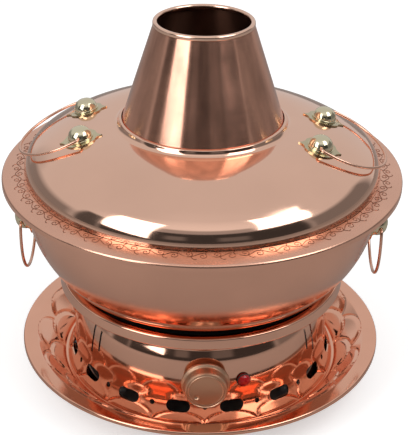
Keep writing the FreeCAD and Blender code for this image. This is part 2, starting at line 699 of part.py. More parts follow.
def make_dome(point, normal, tangent, middle, axis, wire, under):
    """Round boss on its plate, with a blind eye for the bail's end and a rivet hole."""
    centre = V(0, 0, ROSETTE_THICKNESS - DOME_FLATTENING)
    skirt = Part.makeCylinder(DOME_RADIUS, DOME_RADIUS, V(0, 0, centre.z - DOME_RADIUS))
    foot = Part.makeCylinder(DOME_RADIUS + DOME_FOOT, DOME_RADIUS / 2 + DOME_FOOT,
                             V(0, 0, ROSETTE_THICKNESS - DOME_RADIUS / 2))
    dome = Part.makeSphere(DOME_RADIUS, centre).fuse([skirt, foot])
    dome = dome.cut(Part.makeCylinder(RIVET_SHANK / 2, DOME_RADIUS + RIVET_GRIP,
                                      V(0, 0, ROSETTE_THICKNESS - DOME_RADIUS)))
    dome.Placement = seat_placement(point, normal, tangent)
    offset = (point - middle).dot(axis)
    outer_side = axis * math.copysign(1.0, offset)
    mouth = middle + outer_side * (abs(offset) + 2 * DOME_RADIUS)
    end = middle + outer_side * (eye_depth_end(offset) - EYE_END_GAP)
    return dome.cut(under).cut(rod(wire / 2 + SHAFT_CLEARANCE, end, mouth))


def eye_depth_end(along_axis):
    """How far from the pair's middle a bail's end reaches."""
    return abs(along_axis) + 0.85 * DOME_RADIUS - BAIL_PIN_DEPTH


def make_rivet(point, normal, shell, wall):
    """Rivet from inside the shell, through its plate, into the dome."""
    low = point - normal * (wall + RIVET_HEAD_HEIGHT)
    head = rod(RIVET_HEAD / 2, low, point - normal * (wall / 2)).cut(shell)
    shank = rod(RIVET_SHANK / 2, low, point + normal * (ROSETTE_THICKNESS + RIVET_GRIP))
    return head.fuse(shank).removeSplitter()


def pair_axis(seats, side):
    """Middle point and direction of the line through a pair's two eyes."""
    lift = ROSETTE_THICKNESS + EYE_HEIGHT
    eyes = [point + normal * lift for name, point, normal in seats if name.startswith(side)]
    middle = (eyes[0] + eyes[1]) * 0.5
    return middle, (eyes[1] - eyes[0]).normalize()


def make_bail(middle, axis, reach_direction, wire):
    """Round wire bail with its ends bent inwards, drawn in the plane of its axis."""
    inner = BAIL_RADIUS - BAIL_BEND
    bend_at = math.sqrt(inner ** 2 - (BAIL_CENTRE - BAIL_BEND) ** 2)
    swing = math.atan2(BAIL_BEND - BAIL_CENTRE, bend_at)
    pin_end = eye_depth_end(PAIR_HALF_SPACING)

    def at(t, v):
        return middle + axis * t + reach_direction * v

    def on_bend(side, turn):
        return at(side * (bend_at + BAIL_BEND * math.cos(turn)), BAIL_BEND + BAIL_BEND * math.sin(turn))

    edges = []
    for side in (1, -1):
        bend = [on_bend(side, turn) for turn in (-math.pi / 2, (swing - math.pi / 2) / 2, swing)]
        run = [Part.LineSegment(at(side * pin_end, 0), bend[0]).toShape(), Part.Arc(*bend).toShape()]
        edges.append(run)
    top = at(0, BAIL_CENTRE + BAIL_RADIUS)
    loop = Part.Arc(on_bend(1, swing), top, on_bend(-1, swing)).toShape()
    path = Part.Wire(edges[0] + [loop] + edges[1][::-1])
    circle = Part.Wire(Part.makeCircle(wire / 2, at(pin_end, 0), axis))
    return path.makePipeShell([circle], True, False)


def lid_bail_direction(azimuth):
    """Direction in which a folded lid bail lies."""
    flank = math.atan2(LID_CROWN_HEIGHT - LID_SHOULDER_HEIGHT, LID_RADIUS - LID_CROWN_RADIUS)
    slope = flank - math.radians(LID_BAIL_LIFT)
    return outward(azimuth) * math.cos(slope) - UP * math.sin(slope)


# ---------------------------------------------------------------- heater
def make_heating_plate():
    """Cast heating plate, its top just under the bowl's floor."""
    plate = Part.makeCylinder(PLATE_RADIUS, PLATE_THICKNESS, V(0, 0, PLATE_BOTTOM))
    rim = [e for e in plate.Edges if e.Closed and abs(e.BoundBox.ZMin - PLATE_TOP) < 1e-6]
    plate = plate.makeChamfer(1.0, rim)
    for azimuth in POST_AZIMUTHS:
        plate = plate.cut(rod(SCREW_RADIUS, polar(POST_CIRCLE, azimuth, PLATE_BOTTOM),
                              polar(POST_CIRCLE, azimuth, PLATE_BOTTOM + STUD_DEPTH)))
    return plate


def element_height():
    """Height of the element's centre line, its tube against the plate."""
    return PLATE_BOTTOM - ELEMENT_TUBE / 2


def element_ends():
    """Azimuths of the element's two ends, behind the axis."""
    return 180 - ELEMENT_GAP_ANGLE / 2, 180 + ELEMENT_GAP_ANGLE / 2


def make_element():
    """Tubular heating element: an open ring with two tails that turn down."""
    z = element_height()
    first, last = element_ends()
    start, end = polar(ELEMENT_CIRCLE, first, z), polar(ELEMENT_CIRCLE, last, z)
    arc = Part.Arc(start, polar(ELEMENT_CIRCLE, 0, z), end).toShape()
    circle = Part.Wire(Part.makeCircle(ELEMENT_TUBE / 2, start, along(first)))
    tube = Part.Wire([arc]).makePipeShell([circle], True, False)
    tails = []
    for point in (start, end):
        tails.append(rod(ELEMENT_TUBE / 2, point, point - UP * ELEMENT_TAIL))
        tails.append(Part.makeSphere(ELEMENT_TUBE / 2, point))
    return tube.fuse(tails)


def make_element_pin(azimuth):
    """Cold pin at the end of an element tail."""
    top = polar(ELEMENT_CIRCLE, azimuth, element_height() - ELEMENT_TAIL)
    return rod(ELEMENT_PIN_RADIUS, top, top - UP * ELEMENT_PIN_LENGTH)


def make_shield():
    """Heat shield pan under the element, with holes for the posts and the tails."""
    bottom = SHIELD_BOTTOM
    pan = spun_sheet([(SHIELD_HOLE_RADIUS, bottom, 0), (SHIELD_RADIUS, bottom, 4.0),
                      (SHIELD_RADIUS, PLATE_BOTTOM - SHIELD_WALL, 0.8),
                      (SHIELD_RADIUS + SHIELD_FLANGE_WIDTH, PLATE_BOTTOM - SHIELD_WALL, 0)], SHIELD_WALL)
    low, high = bottom - SHIELD_WALL, bottom + 2 * SHIELD_WALL
    cutters = [rod(POST_RADIUS + RUN_GAP, polar(POST_CIRCLE, azimuth, low),
                   polar(POST_CIRCLE, azimuth, high)) for azimuth in POST_AZIMUTHS]
    cutters += [rod(ELEMENT_TUBE / 2 + SHIELD_HOLE_GAP, polar(ELEMENT_CIRCLE, azimuth, low),
                    polar(ELEMENT_CIRCLE, azimuth, high)) for azimuth in element_ends()]
    return pan.cut(Part.Compound(cutters))


def make_post(azimuth):
    """Stepped post from the base plate to the heating plate, tapped at both ends."""
    low, high = polar(POST_CIRCLE, azimuth, BASE_TOP), polar(POST_CIRCLE, azimuth, PLATE_BOTTOM)
    shoulder = polar(POST_CIRCLE, azimuth, SHIELD_BOTTOM)
    post = rod(POST_RADIUS + POST_SHOULDER, low, shoulder).fuse(rod(POST_RADIUS, shoulder, high))
    post = post.cut(rod(SCREW_RADIUS, low, low + UP * POST_TAP))
    return post.cut(rod(SCREW_RADIUS, high - UP * POST_TAP, high))


def make_post_screws():
    """Screws from under the base plate into the posts."""
    return [screw(polar(POST_CIRCLE, azimuth, TRAY_FLOOR), UP, BASE_PLATE_THICKNESS + POST_TAP)
            for azimuth in POST_AZIMUTHS]


def make_post_studs():
    """Studs that hold the heating plate on the posts."""
    return [rod(SCREW_RADIUS, polar(POST_CIRCLE, azimuth, PLATE_BOTTOM - POST_TAP),
                polar(POST_CIRCLE, azimuth, PLATE_BOTTOM + STUD_DEPTH)) for azimuth in POST_AZIMUTHS]


# ---------------------------------------------------------------- base plate and feet
def make_base_plate():
    """Steel plate that closes the tray's hole and carries the works."""
    plate = Part.makeCylinder(BASE_PLATE_RADIUS, BASE_PLATE_THICKNESS, V(0, 0, TRAY_FLOOR))
    cutters = [rod(SCREW_RADIUS, polar(POST_CIRCLE, azimuth, 0), polar(POST_CIRCLE, azimuth, BASE_TOP))
               for azimuth in POST_AZIMUTHS]
    cutters += [rod(SCREW_RADIUS, polar(FOOT_CIRCLE, azimuth, 0), polar(FOOT_CIRCLE, azimuth, BASE_TOP))
                for azimuth in FOOT_AZIMUTHS]
    for k in range(VENT_COUNT):
        vent = block((VENT_WIDTH, VENT_LENGTH, 4 * BASE_PLATE_THICKNESS), V(0, -VENT_CIRCLE, TRAY_FLOOR))
        cutters.append(turned(vent, (k + 0.5) * 360.0 / VENT_COUNT))
    cutters.append(rod(SCREW_RADIUS, earth_point() - UP * 2 * BASE_PLATE_THICKNESS, earth_point()))
    return plate.cut(Part.Compound(cutters))


def make_foot(azimuth):
    """Rubber foot, its screw's head sunk in it."""
    low = polar(FOOT_CIRCLE, azimuth, 0)
    body = Part.makeCone(FOOT_RADIUS - FOOT_TAPER, FOOT_RADIUS, FOOT_HEIGHT, low)
    body = body.cut(rod(SCREW_HEAD + RUN_GAP, low, low + UP * (SCREW_HEAD_HEIGHT + FOOT_SCREW_RECESS)))
    return body.cut(rod(SCREW_RADIUS, low, low + UP * FOOT_HEIGHT))


def make_foot_screws():
    """Screws up through the feet, the tray and the base plate."""
    seat = SCREW_HEAD_HEIGHT + FOOT_SCREW_RECESS
    length = BASE_TOP + FOOT_SCREW_REACH - seat
    return [screw(polar(FOOT_CIRCLE, azimuth, seat), UP, length) for azimuth in FOOT_AZIMUTHS]


def make_nut(point):
    """Hexagon nut on a screw's end."""
    corners = [point + polar_flat(NUT_RADIUS, 60 * k) for k in range(7)]
    nut = Part.Face(Part.makePolygon(corners)).extrude(UP * NUT_HEIGHT)
    return nut.cut(rod(SCREW_RADIUS, point, point + UP * NUT_HEIGHT))


def make_foot_nuts():
    """Nuts of the foot screws, on the base plate."""
    return [make_nut(polar(FOOT_CIRCLE, azimuth, BASE_TOP)) for azimuth in FOOT_AZIMUTHS]


def make_drum_screws():
    """Self-tapping screws from under the tray into the drum's foot flange."""
    length = TRAY_WALL + DRUM_WALL + DRUM_SCREW_REACH
    return [screw(polar(DRUM_SCREW_CIRCLE, azimuth, TRAY_FLOOR - TRAY_WALL), UP, length)
            for azimuth in DRUM_SCREW_AZIMUTHS]


# ---------------------------------------------------------------- controls
def drum_inside():
    """Solid that fills the drum's inside, for trimming what seats on its inner wall."""
    points = [V(r, 0, z) for r, z, _ in drum_wall_corners()]
    radii = limited_radii(points, [bend for _, _, bend in drum_wall_corners()])
    inner = offset_points(points, -DRUM_WALL)
    inner_radii = offset_radii(points, radii, -DRUM_WALL)
    return filled([(p.x, p.z, r) for p, r in zip(inner, inner_radii)])


def control_bar(x, radius):
    """Bar along a screw's or the shaft's axis, from the saddle's back through the drum's wall."""
    outer = wall_reach(CONTROL_HEIGHT, BRACKET_HEIGHT)[1]
    return rod(radius, V(x, -outer, CONTROL_HEIGHT), V(x, bracket_back(), CONTROL_HEIGHT))


def control_screw_bar(side, radius):
    """Bar along a control screw's axis, through the drum's wall."""
    return control_bar(side * CONTROL_SCREW_SPACING / 2, radius)


def bracket_back():
    """Back face of the thermostat's saddle, as a Y coordinate."""
    return -(wall_span(CONTROL_HEIGHT, BRACKET_HEIGHT)[0] - DRUM_WALL - BRACKET_GAP)


def knob_back():
    """Distance from the pot's axis to the knob's back, clear of the wall behind the knob."""
    return wall_span(CONTROL_HEIGHT, 2 * KNOB_RADIUS)[1] + KNOB_GAP


def make_thermostat_bracket():
    """Saddle between the drum's wall and the thermostat."""
    width = CONTROL_SCREW_SPACING + 2 * BRACKET_MARGIN
    corner = V(-width / 2, bracket_back() - BRACKET_DEPTH, CONTROL_HEIGHT - BRACKET_HEIGHT / 2)
    saddle = Part.makeBox(width, BRACKET_DEPTH, BRACKET_HEIGHT, corner).common(drum_inside())
    cutters = [control_screw_bar(side, SCREW_RADIUS) for side in (-1, 1)]
    cutters.append(control_bar(0, SHAFT_RADIUS + SHAFT_CLEARANCE))
    return saddle.cut(Part.Compound(cutters))


def make_thermostat():
    """Thermostat body with two flat tabs and a blind bore for its shaft."""
    wide, deep, tall = THERMOSTAT_SIZE
    body = Part.makeBox(wide, deep, tall, V(-wide / 2, bracket_back(), CONTROL_HEIGHT - tall / 2))
    upright = [e for e in body.Edges if abs(e.tangentAt(e.FirstParameter).y) > 0.99]
    body = body.makeFillet(2.0, upright)
    back = bracket_back() + deep
    tabs = [block((TAB_WIDTH, TAB_LENGTH, TAB_THICKNESS),
                  V(x, back + TAB_LENGTH / 2, CONTROL_HEIGHT + TAB_RISE))
            for x in (-TAB_SPACING / 2, TAB_SPACING / 2)]
    bore = rod(SHAFT_RADIUS + SHAFT_CLEARANCE, V(0, bracket_back(), CONTROL_HEIGHT),
               V(0, bracket_back() + SHAFT_BORE_DEPTH, CONTROL_HEIGHT))
    return body.fuse(tabs).cut(bore)


def tab_end(side):
    """Middle of a thermostat tab's free end."""
    return V(side * TAB_SPACING / 2, bracket_back() + THERMOSTAT_SIZE[1] + TAB_LENGTH,
             CONTROL_HEIGHT + TAB_RISE)


def make_shaft():
    """Thermostat shaft, flattened where it holds the knob."""
    end = -(knob_back() + KNOB_DEPTH - SHAFT_CAP)
    start = bracket_back() + SHAFT_BORE_DEPTH - SHAFT_END_GAP
    shaft = rod(SHAFT_RADIUS, V(0, start, CONTROL_HEIGHT), V(0, end, CONTROL_HEIGHT))
    grip = KNOB_DEPTH - SHAFT_CAP
    flat = block((4 * SHAFT_RADIUS, grip, SHAFT_RADIUS),
                 V(0, -(knob_back() + grip / 2 + SHAFT_FLAT_START), CONTROL_HEIGHT + 1.1 * SHAFT_RADIUS))
    return shaft.cut(flat)


def knob_profile():
    """Half outline of the knob as (radius, depth from its back)."""
    r, d = KNOB_RADIUS, KNOB_DEPTH
    return [(0, 0), (r - 1.4, 0), (r, 1.2), (r, 3.6), (r - 0.9, 4.4), (r - 1.8, 4.8),
            (r - 2.2, 5.6), (r - 2.8, d - 2.0), (r - 3.5, d - 0.4), (r - 4.3, d),
            (r - 4.9, d - 0.9), (r - 5.5, d - 0.9), (r - 6.2, d - 0.2),
            (r - 7.0, d - KNOB_FACE_SINK), (0, d - KNOB_FACE_SINK)]


def make_knob():
    """Control knob with a stepped rim, a flanged back and a D-shaped bore."""
    points = [V(x, 0, z) for x, z in knob_profile()]
    body = Part.Face(Part.makePolygon(points + points[:1])).revolve(V(0, 0, 0), UP, 360)
    relief = Part.makeCylinder(KNOB_RADIUS - KNOB_RELIEF_WALL, KNOB_RELIEF_DEPTH)
    relief = relief.cut(Part.makeCylinder(2 * SHAFT_RADIUS, KNOB_RELIEF_DEPTH))
    face = KNOB_DEPTH - KNOB_FACE_SINK
    dimple = Part.makeSphere(KNOB_DIMPLE_RADIUS, V(*KNOB_DIMPLE_PLACE, face + KNOB_DIMPLE_RISE))
    body = body.cut(Part.Compound([relief, dimple]))
    body.Placement = FreeCAD.Placement(V(0, -knob_back(), CONTROL_HEIGHT),
                                       FreeCAD.Rotation(V(1, 0, 0), 90))
    return body.cut(make_shaft())


def make_control_screws():
    """Screws through the drum's wall into the thermostat, hidden by the knob."""
    result = []
    for side in (-1, 1):
        x = side * CONTROL_SCREW_SPACING / 2
        wall = wall_span(CONTROL_HEIGHT, 2 * SCREW_HEAD)[1]
        face = math.sqrt(wall ** 2 - (abs(x) - SCREW_HEAD) ** 2)
        length = face + bracket_back()
        result.append(screw(V(x, -face, CONTROL_HEIGHT), V(0, 1, 0), length))
    return result


def lamp_seat():
    """Distance from the pot's axis to the lens's back, just clear of the wall behind it."""
    return wall_span(LAMP_HEIGHT, 2 * LAMP_LENS_RADIUS)[1] + LAMP_SEAT_GAP


def make_lamp_body():
    """Neon lamp housing behind the drum's wall."""
    outer = lamp_seat()
    return rod(LAMP_BODY_RADIUS, polar(outer - LAMP_BODY_LENGTH, LAMP_AZIMUTH, LAMP_HEIGHT),
               polar(outer, LAMP_AZIMUTH, LAMP_HEIGHT))


def make_lamp_clip():
    """Spring ring that holds the lamp from inside the wall."""
    radius = LAMP_BODY_RADIUS + LAMP_CLIP_RIM
    narrow, wide = wall_span(LAMP_HEIGHT, 2 * radius)
    clip = rod(radius, polar(narrow - DRUM_WALL - LAMP_CLIP_DEPTH, LAMP_AZIMUTH, LAMP_HEIGHT),
               polar(wide, LAMP_AZIMUTH, LAMP_HEIGHT))
    return clip.common(drum_inside()).cut(make_lamp_body())


def make_lamp_lens():
    """Faceted lamp lens on the drum's wall."""
    rings = [(LAMP_LENS_RADIUS, 0.0), (LAMP_LENS_RADIUS, 1.6), (LAMP_LENS_RADIUS - 1.6, 3.6),
             (LAMP_LENS_RADIUS - 3.9, 4.8)]
    wires = []
    for radius, depth in rings:
        corners = [polar_flat(radius, 45 * k) + UP * depth for k in range(9)]
        wires.append(Part.makePolygon(corners))
    lens = Part.makeLoft(wires, True, True)
    lens.Placement = seat_placement(polar(lamp_seat(), LAMP_AZIMUTH, LAMP_HEIGHT), outward(LAMP_AZIMUTH),
                                    along(LAMP_AZIMUTH))
    return lens


# ---------------------------------------------------------------- inlet and wiring
def drum_outside():
    """Solid inside the drum's outer wall, for trimming what seats on it from outside."""
    return filled(drum_wall_corners())


def make_inlet():
    """Appliance inlet in the back of the drum: a bezel outside and an open socket body."""
    border = 2 * INLET_BEZEL_BORDER
    bezel = block((INLET_WIDTH + border, INLET_BEZEL_DEPTH, INLET_TALL + border),
                  V(0, inlet_face() - INLET_BEZEL_DEPTH / 2, INLET_HEIGHT)).cut(drum_outside())
    depth = inlet_face() - inlet_back()
    body = block((INLET_WIDTH, depth, INLET_TALL), V(0, inlet_face() - depth / 2, INLET_HEIGHT))
    socket = block((INLET_WIDTH - 2 * INLET_WALL, INLET_DEPTH, INLET_TALL - 2 * INLET_WALL),
                   V(0, inlet_floor() + INLET_DEPTH / 2, INLET_HEIGHT))
    shell = bezel.fuse(body).cut(socket).removeSplitter()
    return shell.cut(Part.Compound(make_inlet_pins()))


def inlet_face():
    """Y coordinate of the bezel's face, beyond the wall that the bezel covers."""
    return wall_span(INLET_HEIGHT, INLET_TALL + 2 * INLET_BEZEL_BORDER)[1] + INLET_BEZEL_STAND


def inlet_back():
    """Y coordinate of the inlet body's back, inside the drum."""
    return inlet_face() - INLET_DEPTH - INLET_BACK_WALL


def inlet_floor():
    """Y coordinate of the socket's floor."""
    return inlet_face() + INLET_SOCKET_LIFT - INLET_DEPTH


def make_inlet_pins():
    """Three blades of the inlet, which end as tabs behind it."""
    start = inlet_back() - INLET_TAB_LENGTH
    length = inlet_floor() + INLET_PIN_LENGTH - start
    return [Part.makeBox(INLET_PIN_WIDTH, length, INLET_PIN_TALL,
                         V(x - INLET_PIN_WIDTH / 2, start, INLET_HEIGHT + z - INLET_PIN_TALL / 2))
            for x, z in INLET_PIN_PLACES]


def pin_tab(index):
    """End of an inlet blade inside the drum."""
    x, z = INLET_PIN_PLACES[index]
    return V(x, inlet_back() - INLET_TAB_LENGTH, INLET_HEIGHT + z)


def earth_point():
    """Top of the base plate at the earth screw."""
    return V(*EARTH_PLACE, BASE_TOP)


def make_earth_screw():
    """Earth screw on the base plate."""
    return screw(earth_point() + UP * TAG_THICKNESS, -UP, TAG_THICKNESS + BASE_PLATE_THICKNESS)


def make_earth_tag():
    """Ring tag under the earth screw."""
    point = earth_point()
    top = point + UP * TAG_THICKNESS
    tail = Part.makeBox(4.0, 8.0, TAG_THICKNESS, point + V(-2.0, 3.0, 0))
    return rod(SCREW_HEAD, point, top).fuse(tail).cut(rod(SCREW_RADIUS, point, top)).removeSplitter()


def fuse_box():
    """Middle of the thermal fuse, under the heating plate."""
    return V(*FUSE_PLACE, SHIELD_BOTTOM - FUSE_RADIUS - FUSE_CLIP_THICKNESS)


def make_thermal_fuse():
    """Thermal fuse against the heat shield."""
    centre = fuse_box()
    half = V(0, FUSE_LENGTH / 2, 0)
    clip = Part.makeBox(12.0, FUSE_LENGTH / 2, FUSE_CLIP_THICKNESS,
                        centre + V(-6.0, -FUSE_LENGTH / 4, FUSE_RADIUS))
    return rod(FUSE_RADIUS, centre - half, centre + half).fuse(clip)


def make_wire(points):
    """Insulated lead along its route."""
    return wire_rod(points, WIRE_BEND, WIRE_RADIUS)


def wire_live():
    """Lead from the inlet's live blade to the thermostat."""
    start = pin_tab(0)
    end = tab_end(-1)
    low = BASE_TOP + WIRE_LOW
    return make_wire([start, start - V(0, 12, 0), V(-24, 60, low), V(-46, 10, low), V(-36, -50, low),
                      V(end.x, end.y + 22, CONTROL_HEIGHT - 2), end + V(0, 10, 0), end])


def wire_switched():
    """Lead from the thermostat to the element's first pin."""
    start = tab_end(1)
    end = polar(ELEMENT_CIRCLE, element_ends()[0], element_height() - ELEMENT_TAIL - ELEMENT_PIN_LENGTH)
    low = BASE_TOP + WIRE_LOW
    return make_wire([start, start + V(0, 10, 0), V(20, start.y + 28, CONTROL_HEIGHT - 6),
                      V(38, -46, low + 4), V(48, 0, low + 6), V(40, 44, low + 10),
                      end - UP * 16, end])


def wire_neutral():
    """Lead from the inlet's neutral blade to the thermal fuse."""
    start = pin_tab(2)
    end = fuse_box() + V(0, FUSE_LENGTH / 2, 0)
    return make_wire([start, start - V(0, 10, 0), V(0, 68, BASE_TOP + 20), V(-22, 52, BASE_TOP + 26),
                      end + V(0, 12, 0), end])


def wire_fuse():
    """Lead from the thermal fuse to the element's second pin."""
    start = fuse_box() - V(0, FUSE_LENGTH / 2, 0)
    end = polar(ELEMENT_CIRCLE, element_ends()[1], element_height() - ELEMENT_TAIL - ELEMENT_PIN_LENGTH)
    return make_wire([start, start - V(0, 12, 0), V(-58, -2, BASE_TOP + 24), V(-62, 34, BASE_TOP + 18),
                      end + V(-14, -10, -18), end - UP * 10, end])


def wire_earth():
    """Lead from the inlet's earth blade to the earth tag."""
    start = pin_tab(1)
    end = earth_point() + V(0, 11, 0.5 + WIRE_RADIUS)
    return make_wire([start, start - V(0, 9, 0), V(10, 74, BASE_TOP + 16), end + V(0, 3, 10), end])


# ---------------------------------------------------------------- assembly
def rosette_nodes(prefix, seats, wire, shell, wall, skin, under):
    """Plates, domes and rivets of four rosettes on a skin of the plates' thickness."""
    nodes = {}
    rivets = []
    for name, point, normal in seats:
        middle, axis = pair_axis(seats, name.split("_")[0])
        level = (axis - normal * axis.dot(normal)).normalize()
        nodes[prefix + "_rosette_plate_" + name] = make_rosette_plate(point, normal, level, skin)
        nodes[prefix + "_rosette_dome_" + name] = make_dome(point, normal, level, middle, axis, wire, under)
        rivets.append(make_rivet(point, normal, shell, wall))
    nodes[prefix + "_rosette_rivets"] = Part.Compound(rivets)
    return nodes


def plate_skin(corners, side):
    """Sheet of the rosette plates' thickness on a spun surface, and all that lies under its top."""
    points = [V(r, 0, z) for r, z, _ in corners]
    radii = limited_radii(points, [bend for _, _, bend in corners])
    top = offset_points(points, side * ROSETTE_THICKNESS)
    top_radii = offset_radii(points, radii, side * ROSETTE_THICKNESS)
    under = filled([(p.x, p.z, r) for p, r in zip(top, top_radii)])
    return spun_sheet(corners, side * ROSETTE_THICKNESS), under


def bail_nodes():
    """The four wire bails, each in the eyes of its pair."""
    nodes = {}
    for side in ("left", "right"):
        middle, axis = pair_axis(lid_seats(), side)
        direction = lid_bail_direction(LID_PAIR_AZIMUTHS[side])
        nodes["lid_bail_" + side] = make_bail(middle, axis, direction, LID_WIRE)
        middle, axis = pair_axis(bowl_seats(), side)
        nodes["bowl_bail_" + side] = make_bail(middle, axis, -UP, BOWL_WIRE)
    return nodes


def base_nodes():
    """The base: tray, drum, heater, controls and wiring."""
    first, last = element_ends()
    nodes = {
        "tray": make_tray(), "drum_shell": make_drum(), "seat_ring": make_seat_ring(),
        "base_plate": make_base_plate(), "heating_plate": make_heating_plate(),
        "heating_element": make_element(),
        "element_pins": Part.Compound([make_element_pin(first), make_element_pin(last)]),
        "heat_shield": make_shield(), "post_screws": Part.Compound(make_post_screws()),
        "post_studs": Part.Compound(make_post_studs()),
        "foot_screws": Part.Compound(make_foot_screws()),
        "foot_nuts": Part.Compound(make_foot_nuts()),
        "drum_screws": Part.Compound(make_drum_screws()),
        "thermostat_bracket": make_thermostat_bracket(), "thermostat_body": make_thermostat(),
        "thermostat_screws": Part.Compound(make_control_screws()),
        "thermostat_shaft": make_shaft(), "control_knob": make_knob(),
        "lamp_body": make_lamp_body(), "lamp_clip": make_lamp_clip(), "lamp_lens": make_lamp_lens(),
        "power_inlet": make_inlet(), "inlet_pins": Part.Compound(make_inlet_pins()),
        "earth_screw": make_earth_screw(), "earth_tag": make_earth_tag(),
        "thermal_fuse": make_thermal_fuse(), "wire_live": wire_live(), "wire_switched": wire_switched(),
        "wire_neutral": wire_neutral(), "wire_fuse": wire_fuse(), "wire_earth": wire_earth(),
    }
    nodes["support_posts"] = Part.Compound([make_post(azimuth) for azimuth in POST_AZIMUTHS])
    nodes["rubber_feet"] = Part.Compound([make_foot(azimuth) for azimuth in FOOT_AZIMUTHS])
    return nodes


def build():
    """All nodes of the hot pot by name."""
    nodes = base_nodes()
    nodes.update({"bowl_shell": make_bowl(), "chimney_tube": make_chimney(),
                  "chimney_lip": make_chimney_lip(), "lid_shell": make_lid(),
                  "lid_guide_ring": make_lid_guide()})
    lid_skin, lid_under = plate_skin(lid_corners(), 1)
    bowl_skin, bowl_under = plate_skin(bowl_corners()[1:5], -1)
    nodes.update(rosette_nodes("lid", lid_seats(), LID_WIRE, nodes["lid_shell"], LID_WALL,
                               lid_skin, lid_under))
    nodes.update(rosette_nodes("bowl", bowl_seats(), BOWL_WIRE, nodes["bowl_shell"], BOWL_WALL,
                               bowl_skin, bowl_under))
    nodes.update(bail_nodes())
    return nodes


os.makedirs("parts", exist_ok=True)
for node_name, node_shape in build().items():
    node_shape.exportStep("parts/" + node_name + ".step")
    print(node_name, len(node_shape.Solids), round(node_shape.Volume, 1), node_shape.isValid())
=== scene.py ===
"""Visual model of the chimney hot pot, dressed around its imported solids.

Everything is in the frame of the solids: +Z up, the control knob towards -Y. Shape sizes are in
millimetres and become metres where a mesh is made. Azimuths run from -Y towards +X, in degrees.
"""

import logging
import math
from dataclasses import dataclass
from enum import Enum

import bpy
from mathutils import Matrix, Vector


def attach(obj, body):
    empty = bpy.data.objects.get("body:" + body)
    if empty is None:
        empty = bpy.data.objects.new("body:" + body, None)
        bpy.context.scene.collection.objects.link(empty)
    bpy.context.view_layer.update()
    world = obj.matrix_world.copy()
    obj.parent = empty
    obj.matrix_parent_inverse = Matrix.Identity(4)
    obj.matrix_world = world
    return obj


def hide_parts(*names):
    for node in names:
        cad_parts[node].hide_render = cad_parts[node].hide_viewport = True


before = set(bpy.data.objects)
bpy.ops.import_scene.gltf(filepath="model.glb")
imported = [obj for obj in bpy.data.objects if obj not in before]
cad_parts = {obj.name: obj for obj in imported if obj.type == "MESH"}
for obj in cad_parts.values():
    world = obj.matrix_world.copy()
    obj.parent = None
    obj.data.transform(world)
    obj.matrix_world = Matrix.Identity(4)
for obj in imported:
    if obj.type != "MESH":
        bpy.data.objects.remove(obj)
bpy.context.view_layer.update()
LOG = logging.getLogger("hot_pot")
MM = 0.001
UP = Vector((0.0, 0.0, 1.0))
QUARTER_TURN = math.pi / 2
Piece = bpy.types.Object
Socket = bpy.types.NodeSocket
Colour = tuple[float, float, float]
Pair = tuple[float, float]


# ------------------------------------------------------------------ workshop: selecting and shaping
def polar(radius: float, azimuth: float, z: float = 0.0) -> Vector:
    """Point at an azimuth from -Y towards +X, in the units it is given."""
    turn = math.radians(azimuth)
    return Vector((radius * math.sin(turn), -radius * math.cos(turn), z))


def deselect() -> None:
    """Leave no object selected."""
    for obj in list(bpy.context.selected_objects):
        obj.select_set(False)


def pick(obj: Piece) -> None:
    """Make one object the only selected and the active one."""
    deselect()
    obj.select_set(True)
    bpy.context.view_layer.objects.active = obj


def enter() -> None:
    """Go into edit mode with what is selected."""
    bpy.ops.object.mode_set(mode="EDIT")


def leave() -> None:
    """Go back to object mode."""
    bpy.ops.object.mode_set(mode="OBJECT")


def edit(obj: Piece, action: str = "SELECT") -> None:
    """Open an object in edit mode with all or none of it selected."""
    pick(obj)
    enter()
    bpy.ops.mesh.select_all(action=action)


def settle(obj: Piece, name: str | None = None) -> Piece:
    """Put an object's place into its mesh and name it.

    Args:
        obj: the object to settle.
        name: its new name, or None to keep the old one.

    Returns:
        The same object, at the origin, unturned and unscaled.
    """
    pick(obj)
    bpy.ops.object.transform_apply(location=True, rotation=True, scale=True)
    if name:
        obj.name = name
        obj.data.name = name
    return obj


def finish_with(obj: Piece, kind: str, **settings: object) -> None:
    """Add a modifier with its settings and apply it."""
    pick(obj)
    modifier = obj.modifiers.new(kind.title(), kind)
    for key, value in settings.items():
        setattr(modifier, key, value)
    bpy.ops.object.modifier_apply(modifier=modifier.name)


def smooth(obj: Piece, angle: float = 32.0) -> Piece:
    """Shade an object smooth, with edges sharper than the angle left crisp."""
    pick(obj)
    bpy.ops.object.shade_smooth_by_angle(angle=math.radians(angle))
    return obj


def joined(parts: list[Piece], name: str) -> Piece:
    """Join objects into one and settle it.

    Args:
        parts: the objects; the first one takes in the others.
        name: name of the joined object.

    Returns:
        The joined object.
    """
    pick(parts[0])
    for part in parts[1:]:
        part.select_set(True)
    if len(parts) > 1:
        bpy.ops.object.join()
    return settle(parts[0], name)


def twin(obj: Piece, place: Matrix, name: str) -> Piece:
    """Copy an object with its own mesh, moved by a matrix.

    Args:
        obj: the modelled original.
        place: matrix that moves the copy's mesh.
        name: name of the copy.

    Returns:
        The copy, linked into the scene.
    """
    copy = obj.copy()
    copy.data = obj.data.copy()
    copy.data.transform(place)
    copy.name = name
    copy.data.name = name
    bpy.context.collection.objects.link(copy)
    return copy


def discard(obj: Piece) -> None:
    """Remove a cutter or an original that isn't shown."""
    bpy.data.objects.remove(obj, do_unlink=True)


def cut(obj: Piece, cutter: Piece) -> None:
    """Take a cutter's solid out of an object and remove the cutter."""
    finish_with(obj, "BOOLEAN", operation="DIFFERENCE", solver="EXACT", object=cutter)
    discard(cutter)


WELD = 2e-6            # points of a spun surface closer than this are one, in metres
SHORTEST = 1e-6        # runs and bends below this are left out, in metres
RUN_KEPT = 0.999       # share of a run that the two bends at its ends may take up


